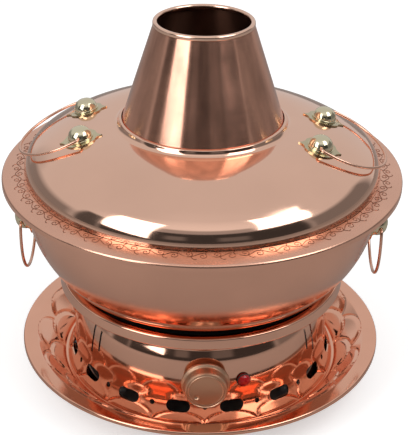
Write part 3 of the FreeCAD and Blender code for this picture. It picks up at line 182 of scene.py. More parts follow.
@dataclass(frozen=True)
class Corner:
    """Corner of a spun piece's outline: radius and height, bend, and step of the run before it."""
    r: float
    z: float
    bend: float = 0.0
    step: float = 6.0


def trace(corners: list[Corner], turn: float = 3.0) -> list[Vector]:
    """Points along a path whose corners are rounded by tangent arcs.

    Args:
        corners: the outline's corners, in millimetres.
        turn: largest turn between two points on an arc, in degrees.

    Returns:
        Points in the XZ plane, in metres.
    """
    points = [Vector((c.r, 0.0, c.z)) * MM for c in corners]
    last = len(points) - 1
    angles = [0.0] + [(points[i] - points[i - 1]).angle(points[i + 1] - points[i])
                      for i in range(1, last)] + [0.0]
    reach = [c.bend * MM * math.tan(a / 2) for c, a in zip(corners, angles)]
    share = [1.0] * len(points)
    for i in range(last):
        need = reach[i] + reach[i + 1]
        run = (points[i + 1] - points[i]).length
        if need > run:
            share[i] = min(share[i], RUN_KEPT * run / need)
            share[i + 1] = min(share[i + 1], RUN_KEPT * run / need)
    line = [points[0]]
    for i in range(1, len(points)):
        bent = i < last and reach[i] * share[i] > SHORTEST
        back = (points[i - 1] - points[i]).normalized()
        target = points[i] + back * reach[i] * share[i] if bent else points[i]
        run = target - line[-1]
        count = max(1, math.ceil(run.length / (corners[i].step * MM)))
        start = line[-1]
        if run.length > SHORTEST:
            line += [start + run * (k / count) for k in range(1, count + 1)]
        if bent:
            ahead = (points[i + 1] - points[i]).normalized()
            radius = corners[i].bend * MM * share[i]
            centre = points[i] + (back + ahead).normalized() * (radius / math.cos(angles[i] / 2))
            arm = target - centre
            end = points[i] + ahead * reach[i] * share[i] - centre
            steps = max(2, math.ceil(math.degrees(angles[i]) / turn))
            pivot = arm.cross(end).normalized()
            line += [centre + Matrix.Rotation(angles[i] * k / steps, 3, pivot) @ arm
                     for k in range(1, steps + 1)]
    return line


def draw(line: list[Vector], name: str) -> Piece:
    """Draw a chain of edges from point to point by extrusion, and stay in edit mode.

    Args:
        line: the chain's points, in metres.
        name: name of the new object.

    Returns:
        The object, in edit mode.
    """
    deselect()
    bpy.ops.mesh.primitive_plane_add(size=MM, location=line[0])
    obj = bpy.context.active_object
    obj.name = name
    obj.data.name = name
    edit(obj)
    bpy.ops.mesh.merge(type="CENTER")
    for start, end in zip(line, line[1:]):
        bpy.ops.mesh.extrude_region_move(TRANSFORM_OT_translate={"value": end - start})
    return obj


def lathe(line: list[Vector], segments: int, name: str) -> Piece:
    """Spin a profile about the pot's axis into a surface whose faces point outwards.

    Args:
        line: profile in the XZ plane, in metres.
        segments: number of steps around the axis.
        name: name of the new object.

    Returns:
        The spun surface, seams and poles merged.
    """
    obj = draw(line, name)
    bpy.ops.mesh.select_all(action="SELECT")
    bpy.ops.mesh.spin(steps=segments, angle=math.tau, center=(0, 0, 0), axis=(0, 0, 1))
    bpy.ops.mesh.select_all(action="SELECT")
    bpy.ops.mesh.remove_doubles(threshold=WELD)
    bpy.ops.mesh.normals_make_consistent(inside=False)
    leave()
    return settle(obj)


def rod(start: Vector, end: Vector, radius: float, sides: int = 24) -> Piece:
    """Round cutter between two points, in metres."""
    deselect()
    run = end - start
    turn = run.to_track_quat("Z", "Y").to_euler()
    bpy.ops.mesh.primitive_cylinder_add(vertices=sides, radius=radius, depth=run.length,
                                        location=(start + end) / 2, rotation=turn)
    return settle(bpy.context.active_object)


def frame_of(origin: Vector, x: Vector, y: Vector, z: Vector) -> Matrix:
    """Matrix that takes the frame's origin and axes to a place and three directions."""
    return Matrix(((x.x, y.x, z.x, origin.x), (x.y, y.y, z.y, origin.y),
                   (x.z, y.z, z.z, origin.z), (0, 0, 0, 1)))


# ------------------------------------------------------------------ finishes
class Grain(Enum):
    """How a surface was worked."""
    POLISHED = "polished"
    AROUND = "fine lines around the pot's axis"
    CAST = "cast or moulded"


class Bench:
    """Node tree of one material while it is wired."""

    def __init__(self, name: str) -> None:
        """Start an empty material."""
        self.material = bpy.data.materials.new(name)
        self.material.use_nodes = True
        self.tree = self.material.node_tree
        self.tree.nodes.clear()

    def node(self, kind: str, values: dict | None = None, **settings: object) -> bpy.types.Node:
        """Add a node with its settings and the values of its inputs."""
        node = self.tree.nodes.new("ShaderNode" + kind)
        for key, value in settings.items():
            setattr(node, key, value)
        for key, value in (values or {}).items():
            node.inputs[key].default_value = value
        return node

    def link(self, source: Socket, target: Socket) -> None:
        """Wire one socket to another."""
        self.tree.links.new(source, target)

    def axes(self, vector: Socket) -> tuple[Socket, Socket, Socket]:
        """X, Y and Z of a vector."""
        split = self.node("SeparateXYZ")
        self.link(vector, split.inputs[0])
        return split.outputs["X"], split.outputs["Y"], split.outputs["Z"]

    def off_axis(self, x: Socket, y: Socket) -> Socket:
        """Distance from the pot's axis."""
        squares = (self.math("MULTIPLY", side, side) for side in (x, y))
        return self.math("SQRT", self.math("ADD", *squares))

    def roughen(self, grain: Socket, depth: float, shader: bpy.types.Node) -> None:
        """Give a shader the bumps of a grain of this depth, in metres."""
        bump = self.node("Bump", {"Strength": 1.0, "Distance": depth})
        self.link(grain, bump.inputs["Height"])
        self.link(bump.outputs["Normal"], shader.inputs["Normal"])

    def show(self, shader: bpy.types.Node) -> bpy.types.Material:
        """Put a shader on the surface and give the material."""
        self.link(shader.outputs[0], self.node("OutputMaterial").inputs["Surface"])
        return self.material

    def math(self, operation: str, *inputs: object) -> Socket:
        """Add a math node fed by sockets or numbers, and give its output."""
        node = self.node("Math", operation=operation)
        for place, value in enumerate(inputs):
            if isinstance(value, Socket):
                self.link(value, node.inputs[place])
            else:
                node.inputs[place].default_value = value
        return node.outputs[0]

    def noise(self, vector: Socket, scale: float, detail: float = 2.0,
              w: Socket | None = None) -> Socket:
        """Noise read at a vector; with w it is read in four dimensions."""
        node = self.node("TexNoise", {"Scale": scale, "Detail": detail},
                         noise_dimensions="4D" if w else "3D")
        self.link(vector, node.inputs["Vector"])
        if w:
            self.link(w, node.inputs["W"])
        return node.outputs["Fac"]

    def ranged(self, value: Socket, low: float, high: float,
               start: float = 0.3, stop: float = 0.7) -> Socket:
        """Map a value from the span start to stop into the span low to high."""
        node = self.node("MapRange", {"From Min": start, "From Max": stop, "To Min": low,
                                      "To Max": high})
        self.link(value, node.inputs["Value"])
        return node.outputs["Result"]

    def blend(self, factor: Socket, low: object, high: object) -> Socket:
        """Mix two colours, each a colour or a socket, by a factor."""
        node = self.node("Mix", data_type="RGBA")
        self.link(factor, node.inputs["Factor"])
        for place, value in ((6, low), (7, high)):
            if isinstance(value, Socket):
                self.link(value, node.inputs[place])
            else:
                node.inputs[place].default_value = (*value, 1.0)
        return node.outputs[2]

    def tinted(self, tone: Socket, colour: Colour, low: float, high: float) -> Socket:
        """Colour that a tone makes darker or lighter, between two shares of it."""
        return self.blend(tone, shade(colour, low), shade(colour, high))


def shade(colour: Colour, share: float) -> Colour:
    """Colour made lighter or darker by a share."""
    return tuple(min(1.0, channel * share) for channel in colour)


# Noise scales per metre, and shares, that several finishes use.
CLOUD = 14.0                 # slow change of a metal's colour
STREAKS = 70.0               # the same where it is drawn out into streaks
SMEAR = 33.0                 # slow change of a metal's gloss
WANDER = 3.0                 # how fast fine lines change on their way around the axis
GRAIN_SCALES = {Grain.POLISHED: 60.0, Grain.CAST: 420.0}
PAINTED_SHADE_TINT = (0.8, 1.25)      # darkest and lightest share of the colour of the shade painted inside the chimney
PAINTED_SHADE_DULLS = 0.2             # roughness added where the shade inside the chimney is painted
MOTTLE = 40.0                # slow change of a moulded piece's colour


@dataclass(frozen=True)
class Metal:
    """Metal finish: colour, gloss, grain and how much each varies over the surface.

    Spread and tint are how far roughness and colour vary, lines is the fine lines' scale per
    metre, depth is the bumps' depth in metres, and a stretch below 1 draws the colour's clouds out
    upwards. Painted shade, a darker colour, lies inside the cone given by its widest radius, its
    radius at z = 0 and its taper, in metres. Polish gives the height up to which the metal is
    smoother, the height from which it isn't, and how much smoother it is.
    """
    name: str
    colour: Colour
    roughness: float
    grain: Grain = Grain.POLISHED
    spread: float = 0.04
    tint: float = 0.05
    lines: float = 1500.0
    depth: float = 4e-6
    anisotropy: float = 0.0
    # darker colour painted inside the chimney's tube as its shade
    painted_shade: Colour | None = None
    cone: tuple[float, float, float] = (0.0, 0.0, 0.0)
    polish: tuple[float, float, float] | None = None
    stretch: float = 1.0

    def material(self) -> bpy.types.Material:
        """Wire the finish.

        Returns:
            The material.
        """
        bench = Bench(self.name)
        place = bench.node("TexCoord").outputs["Object"]
        shader = bench.node("BsdfPrincipled", {"Metallic": 1.0})
        drawn = bench.node("VectorMath", {1: (1.0, 1.0, self.stretch)}, operation="MULTIPLY")
        bench.link(place, drawn.inputs[0])
        cloud = bench.noise(drawn.outputs[0], CLOUD if self.stretch == 1.0 else STREAKS, 3.0)
        tone = bench.ranged(cloud, 0.0, 1.0)
        colour = bench.tinted(tone, self.colour, 1 - self.tint, 1 + self.tint)
        if self.grain is Grain.AROUND:
            grain = self._lines(bench, place)
        else:
            grain = bench.noise(place, GRAIN_SCALES[self.grain], 4.0)
        bench.roughen(grain, self.depth, shader)
        smear = bench.math("ADD", bench.math("MULTIPLY", grain, 0.5),
                           bench.math("MULTIPLY", bench.noise(place, SMEAR, 5.0), 0.5))
        rough = bench.ranged(smear, self.roughness - self.spread / 2, self.roughness + self.spread)
        # Inside the chimney's tube the colour is darkened: this is painted shade.
        if self.painted_shade:
            inside = self._inside(bench, place)
            colour = bench.blend(inside, colour, bench.tinted(tone, self.painted_shade, *PAINTED_SHADE_TINT))
            rough = bench.math("ADD", rough, bench.math("MULTIPLY", inside, PAINTED_SHADE_DULLS))
        if self.polish:
            start, stop, less = self.polish
            height = bench.axes(place)[2]
            rough = bench.math("SUBTRACT", rough, bench.ranged(height, less, 0.0, start, stop))
        bench.link(colour, shader.inputs["Base Color"])
        bench.link(rough, shader.inputs["Roughness"])
        if self.anisotropy:
            shader.inputs["Anisotropic"].default_value = self.anisotropy
            shader.inputs["Anisotropic Rotation"].default_value = 0.25
            bench.link(bench.node("Tangent", direction_type="RADIAL", axis="Z").outputs[0],
                       shader.inputs["Tangent"])
        return bench.show(shader)

    def _inside(self, bench: Bench, place: Socket) -> Socket:
        """1 on the inner side of the cone's wall, 0 on its outer side."""
        foot, start, taper = self.cone
        x, y, z = bench.axes(place)
        cone = bench.math("SUBTRACT", start, bench.math("MULTIPLY", z, taper))
        return bench.math("LESS_THAN", bench.off_axis(x, y), bench.math("MINIMUM", cone, foot))

    def _lines(self, bench: Bench, place: Socket) -> Socket:
        """Fine lines that run around the axis: noise read along the radius and the height."""
        x, y, z = bench.axes(place)
        flat = bench.node("CombineXYZ")
        bench.link(x, flat.inputs["X"])
        bench.link(y, flat.inputs["Y"])
        length = bench.node("VectorMath", operation="LENGTH")
        bench.link(flat.outputs[0], length.inputs[0])
        unit = bench.node("VectorMath", operation="NORMALIZE")
        bench.link(flat.outputs[0], unit.inputs[0])
        ring = bench.node("CombineXYZ")
        steps = zip("XYZ", (*bench.axes(unit.outputs[0])[:2], z), (WANDER, WANDER, self.lines))
        for axis, source, scale in steps:
            bench.link(bench.math("MULTIPLY", source, scale), ring.inputs[axis])
        return bench.noise(ring.outputs[0], 1.0, 2.0,
                           bench.math("MULTIPLY", length.outputs["Value"], self.lines))


@dataclass(frozen=True)
class Moulded:
    """Plastic, rubber or lens finish; clear is the share of light that passes through."""
    name: str
    colour: Colour
    roughness: float
    tint: float = 0.12
    grain_scale: float = 900.0
    depth: float = 1e-5
    clear: float = 0.0

    def material(self) -> bpy.types.Material:
        """Wire the finish.

        Returns:
            The material.
        """
        bench = Bench(self.name)
        place = bench.node("TexCoord").outputs["Object"]
        shader = bench.node("BsdfPrincipled", {"Metallic": 0.0})
        shader.inputs["Transmission Weight"].default_value = self.clear
        tone = bench.ranged(bench.noise(place, MOTTLE, 3.0), 0.0, 1.0)
        bench.link(bench.tinted(tone, self.colour, 1 - self.tint, 1 + self.tint),
                   shader.inputs["Base Color"])
        grain = bench.noise(place, self.grain_scale, 2.0)
        bench.roughen(grain, self.depth, shader)
        bench.link(bench.ranged(grain, self.roughness * 0.9, self.roughness * 1.15),
                   shader.inputs["Roughness"])
        return bench.show(shader)


COPPER = (0.90, 0.56, 0.42)

FINISHES = {
    "lid": Metal("lid_copper", COPPER, 0.085, spread=0.03, tint=0.03, depth=2e-6),
    "bowl": Metal("bowl_copper", (0.84, 0.47, 0.34), 0.21, Grain.AROUND, spread=0.05, depth=6e-7,
                  polish=(0.124, 0.138, 0.17)),
    "chimney": Metal("chimney_copper", (0.80, 0.42, 0.30), 0.19, Grain.AROUND, spread=0.05,
                     tint=0.22, stretch=0.04, depth=2e-6, anisotropy=0.9,
                     # the dark colour inside the tube is painted shade
                     painted_shade=(0.16, 0.07, 0.045), cone=(0.0871, 0.15252, 0.325)),
    "chimney_lip": Metal("chimney_lip_copper", (0.92, 0.60, 0.46), 0.16),
    "drum": Metal("drum_copper", (0.82, 0.46, 0.33), 0.08, Grain.AROUND, spread=0.05, depth=5e-7),
    "tray": Metal("tray_copper", (0.88, 0.465, 0.325), 0.09, spread=0.05, depth=3e-6),
    "scroll": Metal("scroll_patina", (0.36, 0.16, 0.10), 0.24, spread=0.1, tint=0.2),
    "wire": Metal("bail_copper", (0.84, 0.50, 0.37), 0.20, spread=0.08),
    "knob": Metal("knob_copper", (0.68, 0.42, 0.28), 0.40, spread=0.08, depth=2e-6),
    "dome": Metal("dome_brass", (0.76, 0.68, 0.48), 0.13, spread=0.05),
    "rosette": Metal("rosette_brass", (0.62, 0.54, 0.36), 0.20, spread=0.1, tint=0.15, depth=8e-6),
    "rivet": Metal("rivet_brass", (0.74, 0.58, 0.38), 0.3, Grain.CAST),
    "guide": Metal("guide_copper", COPPER, 0.25),
    "steel": Metal("zinc_steel", (0.60, 0.60, 0.59), 0.35, Grain.CAST, depth=6e-6),
    "base_steel": Metal("galvanised_steel", (0.52, 0.53, 0.53), 0.42, Grain.CAST, tint=0.12),
    "iron": Metal("plate_iron", (0.10, 0.10, 0.105), 0.55, Grain.CAST, depth=3e-5),
    "element": Metal("element_steel", (0.34, 0.31, 0.28), 0.45, Grain.CAST, tint=0.25),
    "shield": Metal("shield_aluminium", (0.78, 0.78, 0.78), 0.35, Grain.CAST),
    "pin_brass": Metal("pin_brass", (0.76, 0.62, 0.36), 0.28),
    # The seat ring is a real part, and its near-black colour also stands in for the shade in the
    # gap between bowl and drum: painted shade.
    "ring": Moulded("seat_ring_gap_shade", (0.018, 0.017, 0.017), 0.6),
    "rubber": Moulded("foot_rubber", (0.03, 0.03, 0.03), 0.75),
    "resin": Moulded("thermostat_resin", (0.05, 0.04, 0.035), 0.5),
    "inlet": Moulded("inlet_plastic", (0.025, 0.025, 0.027), 0.45),
    "lamp_body": Moulded("lamp_nylon", (0.62, 0.61, 0.57), 0.5),
    "lens": Moulded("lamp_lens_red", (0.42, 0.012, 0.014), 0.08, tint=0.2, grain_scale=200.0,
                    depth=4e-6, clear=0.1),
    **{name: Moulded("lead_" + name, colour, 0.7, grain_scale=1500.0, depth=4e-5)
       for name, colour in (("brown", (0.16, 0.06, 0.025)), ("blue", (0.03, 0.08, 0.28)),
                            ("green", (0.10, 0.26, 0.04)))},
}


class Shelf:
    """Materials by finish, each wired once."""

    def __init__(self) -> None:
        """Start with none wired."""
        self.made: dict[str, bpy.types.Material] = {}

    def get(self, finish: str) -> bpy.types.Material:
        """Material of a finish."""
        if finish not in self.made:
            self.made[finish] = FINISHES[finish].material()
        return self.made[finish]


@dataclass(frozen=True)
class Dress:
    """What a finished piece needs: its finish, body, slot and the nodes it stands for."""
    finish: str
    body: str
    slot: str
    nodes: tuple[str, ...] = ()

    def put_on(self, obj: Piece, shelf: Shelf) -> Piece:
        """Give a piece its material and its place in the frame.

        Args:
            obj: the finished piece.
            shelf: where its material comes from.

        Returns:
            The same piece.
        """
        obj.data.materials.clear()
        obj.data.materials.append(shelf.get(self.finish))
        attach(obj, self.body)
        if self.nodes:
            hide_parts(*self.nodes)
        LOG.info("%s: %d faces on %s", obj.name, len(obj.data.polygons), self.body)
        return obj


# ------------------------------------------------------------------ shared places
@dataclass(frozen=True)
class Places:
    """Heights, radii and azimuths that several sub-assemblies share, mm and degrees."""
    tray_floor: float = 9.0
    drum_top: float = 102.0
    bowl_floor: float = 98.5
    rim_plane: float = 203.0
    rim_radius: float = 178.8
    rim_neck: float = 157.5
    rim_crown: float = 2.0
    lid_edge: float = 205.159
    chimney_top: float = 341.3
    belly: float = 121.0
    knob_height: float = 52.8
    lamp_azimuth: float = 16.5
    lamp_height: float = 48.8

    def rim_height(self, radius: float) -> float:
        """Height of the rim's upper surface at a radius."""
        return self.rim_plane + self.rim_crown * (self.rim_radius - radius) / (self.rim_radius
                                                                               - self.rim_neck)


PLACES = Places()


# ------------------------------------------------------------------ tray
@dataclass
class Tray:
    """Round dish with two rows of petals pressed into its wall."""
    wall: float = 1.0
    hole: float = 96.0
    floor_edge: float = 130.5
    inner_rim: float = 157.0
    radius: float = 170.0
    rim: float = 33.4
    lip_drop: float = 3.6
    petals: int = 16
    back_relief: float = 0.9
    front_relief: float = 1.5
    back_row: Pair = (0.30, 0.66)    # foot and reach of the petals, as shares of the wall
    front_row: Pair = (0.02, 0.56)
    half_width: float = 0.485        # of a petal, in steps of its row
    point: float = 2.2               # power that shapes a petal's tip
    flank: float = 0.35              # how far inside its outline a petal is at its full height
    flank_power: float = 0.6
    groove: float = 0.7
    groove_width: float = 0.12
    fade_low: Pair = (0.02, 0.10)    # start and length of the relief's rise above the floor
    fade_high: float = 0.05          # length of its fall below the rim
    margin: float = 0.05             # of the wall at both ends that is looked through
    segments: int = 768

    def build(self, shelf: Shelf) -> None:
        """Spin the dish, press the petals, give it its wall and dress it."""
        floor = PLACES.tray_floor
        line = trace([Corner(self.hole, floor), Corner(self.floor_edge, floor, 4.0, 9.0),
                      Corner(self.inner_rim, self.rim, 3.0, 1.2),
                      Corner(self.radius, self.rim, 1.6, 4.0),
                      Corner(self.radius, self.rim - self.lip_drop, 0.0, 4.0)], turn=8.0)
        dish = lathe(line, self.segments, "petal_tray")
        self.press(dish)
        finish_with(dish, "SOLIDIFY", thickness=self.wall * MM, offset=-1.0)
        smooth(dish, 40.0)
        Dress("tray", "base", "tray_copper", ("tray",)).put_on(dish, shelf)

    def press(self, dish: Piece) -> None:
        """Move the wall's points along its normal by the petals' relief."""
        rise = Vector((self.inner_rim - self.floor_edge, 0, self.rim - PLACES.tray_floor)) * MM
        length = rise.length
        for vertex in dish.data.vertices:
            point = vertex.co
            radius = math.hypot(point.x, point.y)
            share = (radius - self.floor_edge * MM) / (self.inner_rim - self.floor_edge) / MM
            if not -self.margin < share < 1 + self.margin:
                continue
            azimuth = math.degrees(math.atan2(point.x, -point.y))
            height = self.relief(azimuth, share)
            if height:
                outward = Vector((point.x, point.y, 0)) / radius
                normal = (UP * rise.x - outward * rise.z) / length
                vertex.co = point + normal * (height * MM)

    def relief(self, azimuth: float, share: float) -> float:
        """Height of the petals over the plain wall.

        Args:
            azimuth: degrees around the axis.
            share: how far up the wall, from 0 at the floor to 1 at the rim.

        Returns:
            Height in millimetres.
        """
        turn = azimuth * self.petals / 360.0
        start, length = self.fade_low
        fade = (min(1.0, max(0.0, (share - start) / length))
                * min(1.0, max(0.0, (1.0 - share) / self.fade_high)))
        front = self.petal(turn - 0.5, share, *self.front_row)
        back = self.petal(turn, share, *self.back_row)
        if front > 0:
            height = self.front_relief * min(1.0, front / self.flank) ** self.flank_power
            edge = front
        elif back > 0:
            height = self.back_relief * min(1.0, back / self.flank) ** self.flank_power
            edge = min(back, -front)
        else:
            height = 0.0
            edge = -max(front, back)
        if edge < self.groove_width:
            height -= self.groove * (1 - edge / self.groove_width)
        return height * fade

    def petal(self, turn: float, share: float, foot: float, reach: float) -> float:
        """How far inside one petal of a row a place lies: 1 at its heart, 0 on its outline."""
        across = turn - round(turn)
        up = max(0.0, (share - foot) / reach)
        return 1.0 - (across / self.half_width) ** 2 - up ** self.point


# ------------------------------------------------------------------ drum
@dataclass
class Drum:
    """Bell-shaped stand with a rolled lip and punched vents.

    Neck, shoulder and waist are corners of its wall: radius and height. Slits are given by their
    azimuth and length, on both sides of the knob.
    """
    wall: float = 1.0
    mouth: float = 122.0
    ledge: float = 9.0
    ledge_depth: float = 11.5
    lip: float = 132.5
    lip_depth: float = 9.5
    neck: Pair = (110.5, 80.0)
    shoulder: Pair = (115.5, 70.06)
    waist: Pair = (119.515, 50.18)
    belly_height: float = 28.17
    foot: float = 128.5
    foot_width: float = 12.5
    slots: int = 16
    slot_length: float = 21.6
    slot_width: float = 10.4
    slot_height: float = 25.0
    slot_cut: Pair = (110.0, 136.0)    # radii between which the slots' cutter runs
    port: float = 4.6
    bore_cut: Pair = (108.0, 136.0)    # and those of the round holes
    control_hole: float = 9.0
    slit_width: float = 2.3
    slit_height: float = 61.0
    slit_cut: float = 28.0
    slits: tuple[Pair, ...] = ((53.0, 20.0), (58.3, 32.0))
    inlet_size: tuple[float, float, float] = (31.0, 30.0, 24.0)
    inlet_height: float = 46.0

    def build(self, shelf: Shelf) -> None:
        """Spin the drum, punch it and dress it."""
        top, floor = PLACES.drum_top, PLACES.tray_floor
        ledge, edge = top - self.ledge_depth, top - self.lip_depth
        line = trace([Corner(self.mouth - self.ledge, ledge), Corner(self.mouth, ledge, 0.0, 4.0),
                      Corner(self.mouth, top, 1.8, 4.0),
                      Corner(self.lip - 2.0, top - 0.3, 1.8, 2.0),
                      Corner(self.lip, edge, 1.2, 2.0),
                      Corner(self.lip - 3.0, edge - 1.2, 1.2, 1.0),
                      Corner(*self.neck, 4.0, 2.0), Corner(*self.shoulder, 32.0, 2.0),
                      Corner(*self.waist, 130.0, 2.5),
                      Corner(PLACES.belly, self.belly_height, 30.0, 2.5),
                      Corner(self.foot, floor + 2.0, 2.2, 2.0), Corner(self.foot, floor, 1.2, 1.0),
                      Corner(self.foot - self.foot_width, floor, 0.0, 6.0)], turn=5.0)
        drum = lathe(line, 320, "vented_drum")
        finish_with(drum, "SOLIDIFY", thickness=self.wall * MM, offset=-1.0)
        cut(drum, self.punches())
        smooth(drum, 34.0)
        Dress("drum", "base", "drum_copper", ("drum_shell",)).put_on(drum, shelf)

    def punches(self) -> Piece:
        """All cutters of the drum's openings, joined."""
        slot = self.slot_cutter()
        tools = []
        for k in range(self.slots):
            turn = Matrix.Rotation(math.radians((k + 0.5) * 360.0 / self.slots), 4, "Z")
            tools.append(twin(slot, turn, "slot_cutter"))
            tools.append(self.bore(k * 360.0 / self.slots, self.slot_height, self.port))
        discard(slot)
        for side in (-1, 1):
            for azimuth, length in self.slits:
                tools.append(self.slit_cutter(side * azimuth, length))
        tools.append(self.bore(0.0, PLACES.knob_height, self.control_hole))
        tools.append(self.bore(PLACES.lamp_azimuth, PLACES.lamp_height, self.control_hole))
        tools.append(self.block(PLACES.belly, self.inlet_height, self.inlet_size))
        return joined(tools, "drum_punches")

    def bore(self, azimuth: float, height: float, across: float) -> Piece:
        """Round cutter through the wall, pointing at the axis."""
        start, end = (polar(radius, azimuth, height) * MM for radius in self.bore_cut)
        return rod(start, end, across / 2 * MM)

    def block(self, y: float, z: float, size: tuple[float, float, float]) -> Piece:
        """Box cutter with its middle at a place straight behind the axis, or before it."""
        deselect()
        bpy.ops.mesh.primitive_cube_add(size=1.0, location=(0, y * MM, z * MM),
                                        scale=[length * MM for length in size])
        return settle(bpy.context.active_object)

    def slot_cutter(self) -> Piece:
        """Round-ended slot at the front: a round bar pulled apart at its middle."""
        start, end = (Vector((0, -radius, self.slot_height)) * MM for radius in self.slot_cut)
        bar = rod(start, end, self.slot_width / 2 * MM, 33)
        half = (self.slot_length - self.slot_width) / 2 * MM
        for side in (-1, 1):
            edit(bar, "DESELECT")
            leave()
            for vertex in bar.data.vertices:
                vertex.select = vertex.co.x * side > SHORTEST
            enter()
            bpy.ops.transform.translate(value=(side * half, 0, 0))
            leave()
        return bar

    def slit_cutter(self, azimuth: float, length: float) -> Piece:
        """Narrow upright slit in the wall."""
        size = (self.slit_width, self.slit_cut, length)
        cutter = self.block(-self.shoulder[0], self.slit_height, size)
        cutter.data.transform(Matrix.Rotation(math.radians(azimuth), 4, "Z"))
        return cutter


# ------------------------------------------------------------------ bowl
@dataclass
class Bowl:
    """Bowl with a scrolled rim; flank and step are heights of its corners above its floor."""
    wall: float = 1.2
    floor_corner: float = 120.0
    flank: float = 45.6
    radius: float = 161.0
    step: float = 89.0
    lip_drop: float = 4.0
    scrolls: int = 46
    scroll_line: float = 0.46
    scroll_sink: float = 0.16
    band: float = 165.2
    swing: float = 2.4
    wave_steps: int = 12
    curl_size: Pair = (3.7, 0.8)       # radii of a curl at its start and its eye
    curl_turn: float = 430.0
    curl_steps: int = 14
    curl_offset: float = 1.2
    leaf_offset: float = 2.4
    leaf_run: Pair = (2.0, 4.5)        # start and length of a leaf along the band
    leaf_lift: float = 3.4
    leaf_bend: float = 2.2
    leaf_steps: int = 4

    def build(self, shelf: Shelf) -> None:
        """Spin the bowl, lay the scrolls on its rim and dress both."""
        floor, under = PLACES.bowl_floor, PLACES.rim_plane - self.wall
        line = trace([Corner(0, floor), Corner(self.floor_corner, floor, 44.8, 12.0),
                      Corner(self.radius, floor + self.flank, 107.0, 4.0),
                      Corner(self.radius, floor + self.step, 1.6, 5.0),
                      Corner(PLACES.rim_neck, floor + self.step + 3.6, 1.6, 3.0),
                      Corner(PLACES.rim_neck, under + PLACES.rim_crown, 1.6, 3.0),
                      Corner(PLACES.rim_radius, under, 1.2, 3.0),
                      Corner(PLACES.rim_radius, under - self.lip_drop, 0, 3.0)], turn=3.0)
        shell = lathe(line, 288, "spun_bowl")
        finish_with(shell, "SOLIDIFY", thickness=self.wall * MM, offset=1.0)
        smooth(shell)
        Dress("bowl", "bowl", "bowl_copper", ("bowl_shell",)).put_on(shell, shelf)
        scrolls = self.scroll_band()
        Dress("scroll", "bowl", "bowl_copper").put_on(scrolls, shelf)

    def scroll_band(self) -> Piece:
        """Running scrolls around the rim, their wires half sunk in it."""
        pitch = 360.0 / self.scrolls
        one = self.scroll_unit(pitch)
        units = [twin(one, Matrix.Rotation(math.radians(k * pitch), 4, "Z"), "scroll")
                 for k in range(1, self.scrolls)]
        return smooth(joined([one] + units, "rim_scrolls"), 60.0)

    def scroll_unit(self, pitch: float) -> Piece:
        """One wave of the vine with a curl above and a curl below it."""
        steps = self.wave_steps
        strokes = [[(k / steps * pitch, self.band + self.swing * math.sin(math.tau * k / steps))
                    for k in range(steps + 1)]]
        for side, middle in ((1, 0.25), (-1, 0.75)):
            strokes.append(self.curl(middle * pitch, side))
            strokes.append(self.leaf(middle * pitch, side))
        wires = []
        for stroke in strokes:
            line = [polar(r, azimuth, PLACES.rim_height(r) - self.scroll_sink) * MM
                    for azimuth, r in stroke]
            chain = draw(line, "scroll_stroke")
            leave()
            settle(chain)
            pick(chain)
            bpy.ops.object.convert(target="CURVE")
            chain = bpy.context.active_object
            chain.data.bevel_depth = self.scroll_line * MM
            chain.data.bevel_resolution = 1
            chain.data.use_fill_caps = True
            bpy.ops.object.convert(target="MESH")
            wires.append(bpy.context.active_object)
        return joined(wires, "scroll_unit")

    def curl(self, azimuth: float, side: int) -> list[Pair]:
        """Spiral that leaves the vine and winds in, as azimuths and radii."""
        centre = self.band - side * self.curl_offset
        start, eye = self.curl_size
        points = []
        for k in range(self.curl_steps + 1):
            share = k / self.curl_steps
            size = start * (1 - share) + eye * share
            turn = math.radians(90 - self.curl_turn * share) * side
            points.append((azimuth + math.degrees(size * math.cos(turn) / self.band),
                           centre + size * math.sin(turn)))
        return points

    def leaf(self, azimuth: float, side: int) -> list[Pair]:
        """Short curved frond beyond a curl, as azimuths and radii."""
        base = self.band + side * self.leaf_offset
        start, length = self.leaf_run
        shares = [k / self.leaf_steps for k in range(self.leaf_steps + 1)]
        return [(azimuth + math.degrees((start + length * share) / self.band),
                 base + side * self.leaf_lift * math.sin(share * self.leaf_bend))
                for share in shares]


# ------------------------------------------------------------------ chimney
@dataclass
class Chimney:
    """Cone chimney with a rounded mouth ring."""
    wall: float = 1.2
    top_radius: float = 42.5
    taper: float = 0.325
    foot_radius: float = 88.0
    lip_height: float = 4.2
    lip_outer: float = 44.2
    lip_inner: float = 40.0
    lip_land: float = 1.4

    def build(self, shelf: Shelf) -> None:
        """Spin the tube and its mouth ring and dress both."""
        top = PLACES.chimney_top
        shoulder = top - (self.foot_radius - self.top_radius) / self.taper
        line = trace([Corner(self.foot_radius, PLACES.bowl_floor + self.wall),
                      Corner(self.foot_radius, shoulder, 60.0, 8.0),
                      Corner(self.top_radius + self.taper * self.lip_height,
                             top - self.lip_height, 0.0, 5.0)])
        tube = lathe(line, 256, "cone_chimney")
        finish_with(tube, "SOLIDIFY", thickness=self.wall * MM, offset=-1.0)
        smooth(tube)
        Dress("chimney", "bowl", "chimney_copper", ("chimney_tube",)).put_on(tube, shelf)
        outer, inner, low = self.lip_outer, self.lip_inner, top - self.lip_height
        land = outer - self.lip_land
        ring = trace([Corner(land, low), Corner(outer, low + 0.1, 0.8, 1.0),
                      Corner(outer, top, 2.0, 1.0), Corner(inner, top, 2.0, 1.0),
                      Corner(inner, low, 0.5, 1.0), Corner(land, low)], turn=9.0)
        mouth = smooth(lathe(ring, 192, "chimney_mouth"), 40.0)
        Dress("chimney_lip", "bowl", "chimney_lip_copper", ("chimney_lip",)).put_on(mouth, shelf)


